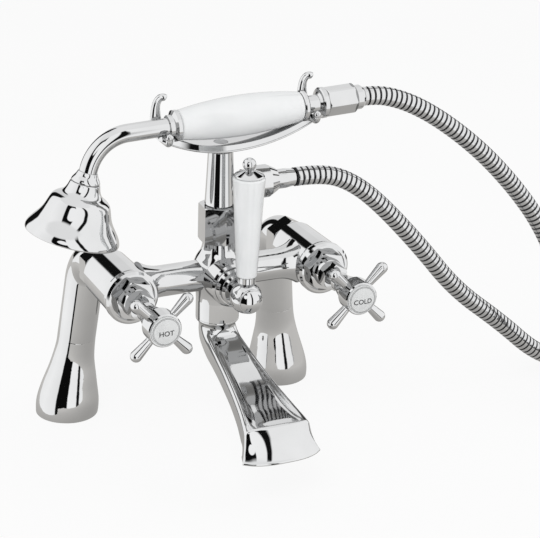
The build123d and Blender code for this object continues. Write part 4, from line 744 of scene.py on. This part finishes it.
def make_arm():
    """The cradle's arm without its straight back prongs."""
    arm = nodes["cradle_arm"]
    mesh = arm.data.copy()
    shape = bmesh.new()
    shape.from_mesh(mesh)
    cut = []
    for vertex in shape.verts:
        point = arm.matrix_world @ vertex.co
        for fork in FORKS.values():
            near = abs(point.x - fork) < PRONG_REACH and point.y > BAR_Y + PRONG_BACK
            if near and point.z > handset_point(fork).z + PRONG_CUT:
                cut.append(vertex)
    bmesh.ops.delete(shape, geom=cut, context="VERTS")
    shape.to_mesh(mesh)
    shape.free()
    horned = place("cradle_arm_horned", mesh)
    horned.matrix_world = arm.matrix_world.copy()
    wear(horned, "chrome")
    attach(horned, "mixer")
    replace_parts(horned, "cradle_arm")


def make_bead():
    """The thin bead along the lower front edge of the cradle's arm."""
    arm_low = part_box("cradle_arm")[0].z
    start, end = ARM_ENDS
    half, slant, bend = ARM_WIDTH
    centres = []
    for step in range(BEAD_STEPS + 1):
        across = start + (end - start) * step / BEAD_STEPS
        width = half + slant * across + bend * across**2
        radius = ARM_RADII[0] if across < 0 else ARM_RADII[1]
        under = radius - math.sqrt(radius**2 - across**2)
        height = arm_low + under + BEAD_RISE
        centres.append(Vector((ARM_LOW_X + across, BAR_Y - width, height)))
    sides = [Vector((0, 1, 0))] * len(centres)
    ups = [Vector((0, 0, 1))] * len(centres)
    sizes = [(BEAD_RADIUS, BEAD_RADIUS)] * len(centres)
    chrome_tube("cradle_arm_bead", centres, sides, ups, sizes, "mixer", BEAD_POINTS)


def make_cradle():
    make_arm()
    for side, fork in FORKS.items():
        make_horn(side, fork)
    make_bead()


# Bell and its collar, turned: distance along the bell's axis, then radius
BELL_START = Vector((-0.10119, BAR_Y, 0.22474))
BELL_AXIS = Vector((-0.25882, 0, -0.96593))
COLLAR_PROFILE = (
    (0.0, 6.65),
    (0.2, 7.0),
    (1.2, 7.4),
    (2.8, 8.1),
    (4.6, 9.3),
    (6.2, 10.15),
    (7.2, 10.4),
    (7.75, 10.2),
    (7.8, 9.6),
    (7.8, 7.2),
)
BELL_PROFILE = (
    (7.95, 7.6),
    (7.95, 10.0),
    (8.3, 10.7),
    (10.0, 11.2),
    (12.6, 12.0),
    (15.0, 13.2),
    (16.6, 14.5),
    (17.6, 16.2),
    (19.0, 18.6),
    (20.8, 20.6),
    (23.0, 21.8),
    (27.0, 23.2),
    (31.5, 24.9),
    (35.5, 27.2),
    (39.5, 30.2),
    (43.0, 32.6),
    (45.6, 33.8),
    (47.3, 34.15),
    (48.2, 34.0),
    (48.6, 33.5),
    (48.4, 32.9),
    (47.6, 32.6),
    (44.4, 32.5),
    (43.6, 31.0),
    (38.0, 27.0),
    (32.0, 23.2),
    (24.0, 20.0),
    (20.0, 17.0),
    (17.0, 12.0),
    (13.0, 9.2),
)
TURNED_POINTS = 112
TURNED_SUBSTEPS = 4


def make_turned(name, profile):
    """A piece turned about the bell's axis, its profile drawn through smooth points."""
    shape = bmesh.new()
    side = Vector((0, 1, 0))
    other = BELL_AXIS.cross(side).normalized()
    rings = []
    for along, radius in between(profile, TURNED_SUBSTEPS):
        centre = BELL_START + BELL_AXIS * along / 1000
        rings.append(
            oval(shape, centre, side, other, radius / 1000, radius / 1000, TURNED_POINTS)
        )
    skin(shape, rings)
    skin(shape, [rings[-1], rings[0]])
    return place_chrome(name, shape, "handset")


def make_bell():
    """The bell-shaped rose and the coved collar above it."""
    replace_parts(make_turned("bell_shell", BELL_PROFILE), "bell")
    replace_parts(make_turned("bell_collar_cove", COLLAR_PROFILE), "bell_collar")


# Lever: the raised line where its ball meets the front cap
SEAM_RADIUS = 0.0008
SEAM_STEPS = 96
SEAM_POINTS = 12


def make_hub_seam():
    low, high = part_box("lever_hub_cap")
    middle = Vector(((low.x + high.x) / 2, high.y, (low.z + high.z) / 2))
    radius = (high.x - low.x) / 2
    sides = []
    for step in range(SEAM_STEPS + 1):
        turn = 2 * math.pi * step / SEAM_STEPS
        sides.append(Vector((math.cos(turn), 0, math.sin(turn))))
    centres = [middle + side * radius for side in sides]
    ups = [Vector((0, 1, 0))] * len(centres)
    sizes = [(SEAM_RADIUS, SEAM_RADIUS)] * len(centres)
    chrome_tube("lever_hub_seam", centres, sides, ups, sizes, "diverter_lever", SEAM_POINTS)


# Valves: a plated sleeve over each spindle, its profile by share of its length, then radius
SLEEVE_SEAT = 0.001
SLEEVE_GAP = 0.0002
SLEEVE_PROFILE = ((0.0, 0.0060), (0.2, 0.0060), (0.28, 0.0056), (0.9, 0.0054), (1.0, 0.0050))
SLEEVE_POINTS = 48


def make_sleeves():
    """The sleeves, each from within its headwork to just short of its handle."""
    for side, axis in DISC_CENTRES.items():
        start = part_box(f"{side}_headwork")[0].y + SLEEVE_SEAT
        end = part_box(f"{side}_cross_handle")[1].y + SLEEVE_GAP
        centres = []
        sizes = []
        for share, radius in SLEEVE_PROFILE:
            centres.append(Vector((axis.x, start + (end - start) * share, axis.z)))
            sizes.append((radius, radius))
        sides = [Vector((1, 0, 0))] * len(centres)
        ups = [Vector((0, 0, 1))] * len(centres)
        chrome_tube(f"{side}_sleeve", centres, sides, ups, sizes, "mixer", SLEEVE_POINTS)


# World: white to the camera, and to polished metal a studio of soft boxes and dark gaps
ROOM_MIDDLE = math.radians(-115.8)
ROOM_LIGHT = 1.2
ROOM_DULL_LIGHT = 0.75
# A ray whose glossy depth is above this has met a second mirror
FIRST_MIRROR = 1.5
# The share of the light that such a ray finds
AGAIN_SHARE = 0.45
# The room's light below eye level, by degrees round from its middle, left to right
ROOM = (
    (-180, 0.75),
    (-160, 0.75),
    (-158, 0.006),
    (-138, 0.006),
    (-136, 0.96),
    (-90, 1.0),
    (-42, 0.9),
    (-40, 0.004),
    (0, 0.004),
    (2, 1.0),
    (33, 0.97),
    (35, 0.006),
    (44, 0.006),
    (46, 0.95),
    (72, 0.92),
    (75, 0.34),
    (108, 0.32),
    (110, 0.006),
    (128, 0.006),
    (130, 0.85),
    (160, 0.8),
)
# The same above eye level for this many stops, and past them the right side is lit as well
LEFT_STOPS = 14
ROOM_ABOVE = (
    *ROOM[:LEFT_STOPS],
    (100, 0.95),
    (146, 0.95),
    (148, 0.006),
    (158, 0.006),
    (160, 0.8),
)
# Where the lower room turns to the upper one, and that to the ceiling, by a ray's rise
EYE_LEVEL = (-0.16, -0.12)
CEILING_EDGE = (0.76, 0.84)
CEILING = 0.86
# A round lamp in the dark near the room's middle: the way to it and how sharp its edge is
LAMP_SIDE = (-0.507, -0.702, 0.5)
LAMP_EDGE = (0.970, 0.980)


def ease(tree, value, edge):
    """Nought before an edge and one past it, with a soft step across it."""
    start, end = edge
    node = tree.nodes.new("ShaderNodeMapRange")
    node.interpolation_type = "SMOOTHSTEP"
    node.inputs["From Min"].default_value = start
    node.inputs["From Max"].default_value = end
    tree.links.new(value, node.inputs["Value"])
    return node.outputs["Result"]


def mixed(tree, factor, low, high):
    """A value between two others."""
    node = tree.nodes.new("ShaderNodeMix")
    node.data_type = "FLOAT"
    for name, value in (("Factor", factor), ("A", low), ("B", high)):
        feed(tree, node.inputs[name], value)
    return node.outputs["Result"]


def room(tree, stops, share):
    """The light of the room's walls at a share of the way round."""
    node = tree.nodes.new("ShaderNodeValToRGB")
    elements = node.color_ramp.elements
    elements.remove(elements[1])
    elements[0].position = 0.0
    for number, (degrees, light) in enumerate(stops):
        element = elements.new((degrees + 180) / 360) if number else elements[0]
        element.color = (light, light, light, 1)
    tree.links.new(share, node.inputs["Fac"])
    return node.outputs["Color"]


def make_world():
    world = bpy.data.worlds.new("studio")
    bpy.context.scene.world = world
    world.use_nodes = True
    tree = world.node_tree
    tree.nodes.clear()
    coords = tree.nodes.new("ShaderNodeTexCoord").outputs["Generated"]
    parts = tree.nodes.new("ShaderNodeSeparateXYZ")
    tree.links.new(coords, parts.inputs[0])
    azimuth = calculate(tree, "ARCTAN2", parts.outputs["Y"], parts.outputs["X"])
    aside = calculate(tree, "SUBTRACT", azimuth, ROOM_MIDDLE)
    aside = calculate(tree, "WRAP", aside, math.pi, -math.pi)
    share = calculate(tree, "ADD", calculate(tree, "DIVIDE", aside, 2 * math.pi), 0.5)
    height = parts.outputs["Z"]
    toward = tree.nodes.new("ShaderNodeVectorMath")
    toward.operation = "DOT_PRODUCT"
    toward.inputs[1].default_value = LAMP_SIDE
    tree.links.new(coords, toward.inputs[0])
    below = room(tree, ROOM, share)
    above = room(tree, ROOM_ABOVE, share)
    walls = mixed(tree, ease(tree, height, EYE_LEVEL), below, above)
    walls = mixed(tree, ease(tree, toward.outputs["Value"], LAMP_EDGE), walls, 1.0)
    studio = mixed(tree, ease(tree, height, CEILING_EDGE), walls, CEILING)
    path = tree.nodes.new("ShaderNodeLightPath")
    again = calculate(tree, "GREATER_THAN", path.outputs["Glossy Depth"], FIRST_MIRROR)
    power = mixed(tree, again, ROOM_LIGHT, ROOM_LIGHT * AGAIN_SHARE)
    light = calculate(tree, "MULTIPLY", studio, power)
    unseen = mixed(tree, path.outputs["Is Glossy Ray"], ROOM_DULL_LIGHT, light)
    shown = mixed(tree, path.outputs["Is Camera Ray"], unseen, 1.0)
    background = tree.nodes.new("ShaderNodeBackground")
    tree.links.new(shown, background.inputs["Strength"])
    output = tree.nodes.new("ShaderNodeOutputWorld")
    tree.links.new(background.outputs[0], output.inputs["Surface"])


# Lamps: name, place, size and power
LAMPS = (
    ("key", (-0.9, -1.3, 1.7), 1.1, 14.0),
    ("fill", (1.5, -0.7, 1.1), 1.0, 5.0),
)
LAMP_AIM = Vector((0.05, -0.08, 0.1))


def make_lamps():
    for name, location, size, power in LAMPS:
        data = bpy.data.lights.new(name, "AREA")
        data.size = size
        data.energy = power
        lamp = bpy.data.objects.new(name, data)
        bpy.context.scene.collection.objects.link(lamp)
        lamp.location = location
        lamp.visible_glossy = False
        aim = LAMP_AIM - Vector(location)
        lamp.rotation_euler = aim.to_track_quat("-Z", "Y").to_euler()


# The grey table that polished metal sees below the mixer, lighter further away
TABLE_CORNERS = (
    (-0.45, 1.5),
    (-0.45, -0.24),
    (-0.75, -0.46),
    (-0.60, -0.70),
    (1.5, -0.70),
    (1.5, 1.5),
)
TABLE_DROP = 0.15
TABLE_GREY = (0.45, 0.44, 0.425)
TABLE_MIDDLE = (0.05, -0.05, 0)
TABLE_GLOW = (0.78, 1.25)
TABLE_GLOW_REACH = (0.2, 0.75)


def flat_piece(name, corners):
    """One flat face through its corners."""
    mesh = bpy.data.meshes.new(name)
    mesh.from_pydata(corners, [], [tuple(range(len(corners)))])
    return place(name, mesh)


def make_table():
    table = flat_piece("table", [(x, y, -TABLE_DROP) for x, y in TABLE_CORNERS])
    look = Look("table")
    look.set(Roughness=0.8)
    look.tint(look.noise(scale=9.0), (0.0, 0.0, 0.0), (0.01, 0.01, 0.01))
    look.set(Emission_Color=(*TABLE_GREY, 1), Specular_IOR_Level=0.0)
    away = look.tree.nodes.new("ShaderNodeVectorMath")
    away.operation = "DISTANCE"
    away.inputs[1].default_value = TABLE_MIDDLE
    look.link(look.coords, away.inputs[0])
    glow = look.ramp(away.outputs["Value"], *TABLE_GLOW, *TABLE_GLOW_REACH)
    path = look.tree.nodes.new("ShaderNodeLightPath")
    first = calculate(look.tree, "LESS_THAN", path.outputs["Glossy Depth"], FIRST_MIRROR)
    seen = look.ramp(first, AGAIN_SHARE, 1.0, 0.0, 1.0)
    dimmed = calculate(look.tree, "MULTIPLY", glow, seen)
    look.link(dimmed, look.shader.inputs["Emission Strength"])
    table.data.materials.append(look.material)
    table.visible_camera = False
    table.visible_diffuse = False
    table.visible_shadow = False
    table.visible_transmission = False


# Floor
FLOOR_REACH = 6.0
# How much of the floor's own white the camera sees, over its light and shadow
FLOOR_WHITE = 0.88


def make_floor():
    reach = FLOOR_REACH
    corners = [(-reach, -reach, 0), (reach, -reach, 0), (reach, reach, 0), (-reach, reach, 0)]
    floor = flat_piece("floor", corners)
    look = Look("floor")
    look.set(Roughness=0.9)
    look.tint(look.noise(scale=6.0), (0.90, 0.90, 0.90), (0.92, 0.92, 0.92))
    white = look.tree.nodes.new("ShaderNodeEmission")
    white.inputs["Strength"].default_value = 1.0
    path = look.tree.nodes.new("ShaderNodeLightPath")
    camera, glossy = path.outputs["Is Camera Ray"], path.outputs["Is Glossy Ray"]
    either = calculate(look.tree, "MAXIMUM", camera, glossy)
    share = calculate(look.tree, "MULTIPLY", either, FLOOR_WHITE)
    surface = look.tree.nodes.new("ShaderNodeMixShader")
    look.link(share, surface.inputs["Fac"])
    look.link(look.shader.outputs[0], surface.inputs[1])
    look.link(white.outputs[0], surface.inputs[2])
    look.link(surface.outputs[0], look.tree.nodes["Material Output"].inputs["Surface"])
    floor.data.materials.append(look.material)
    floor.visible_glossy = False


bpy.context.scene.view_settings.view_transform = "Standard"
place_camera()
make_hose()
finish_of = {row["node"]: row["material_slot"] for row in frame["record"]["subparts"]}
for name, node in nodes.items():
    wear(node, finish_of[name])
make_discs()
make_spout()
make_cradle()
make_sleeves()
make_hub_seam()
make_bell()
make_world()
make_lamps()
make_table()
make_floor()
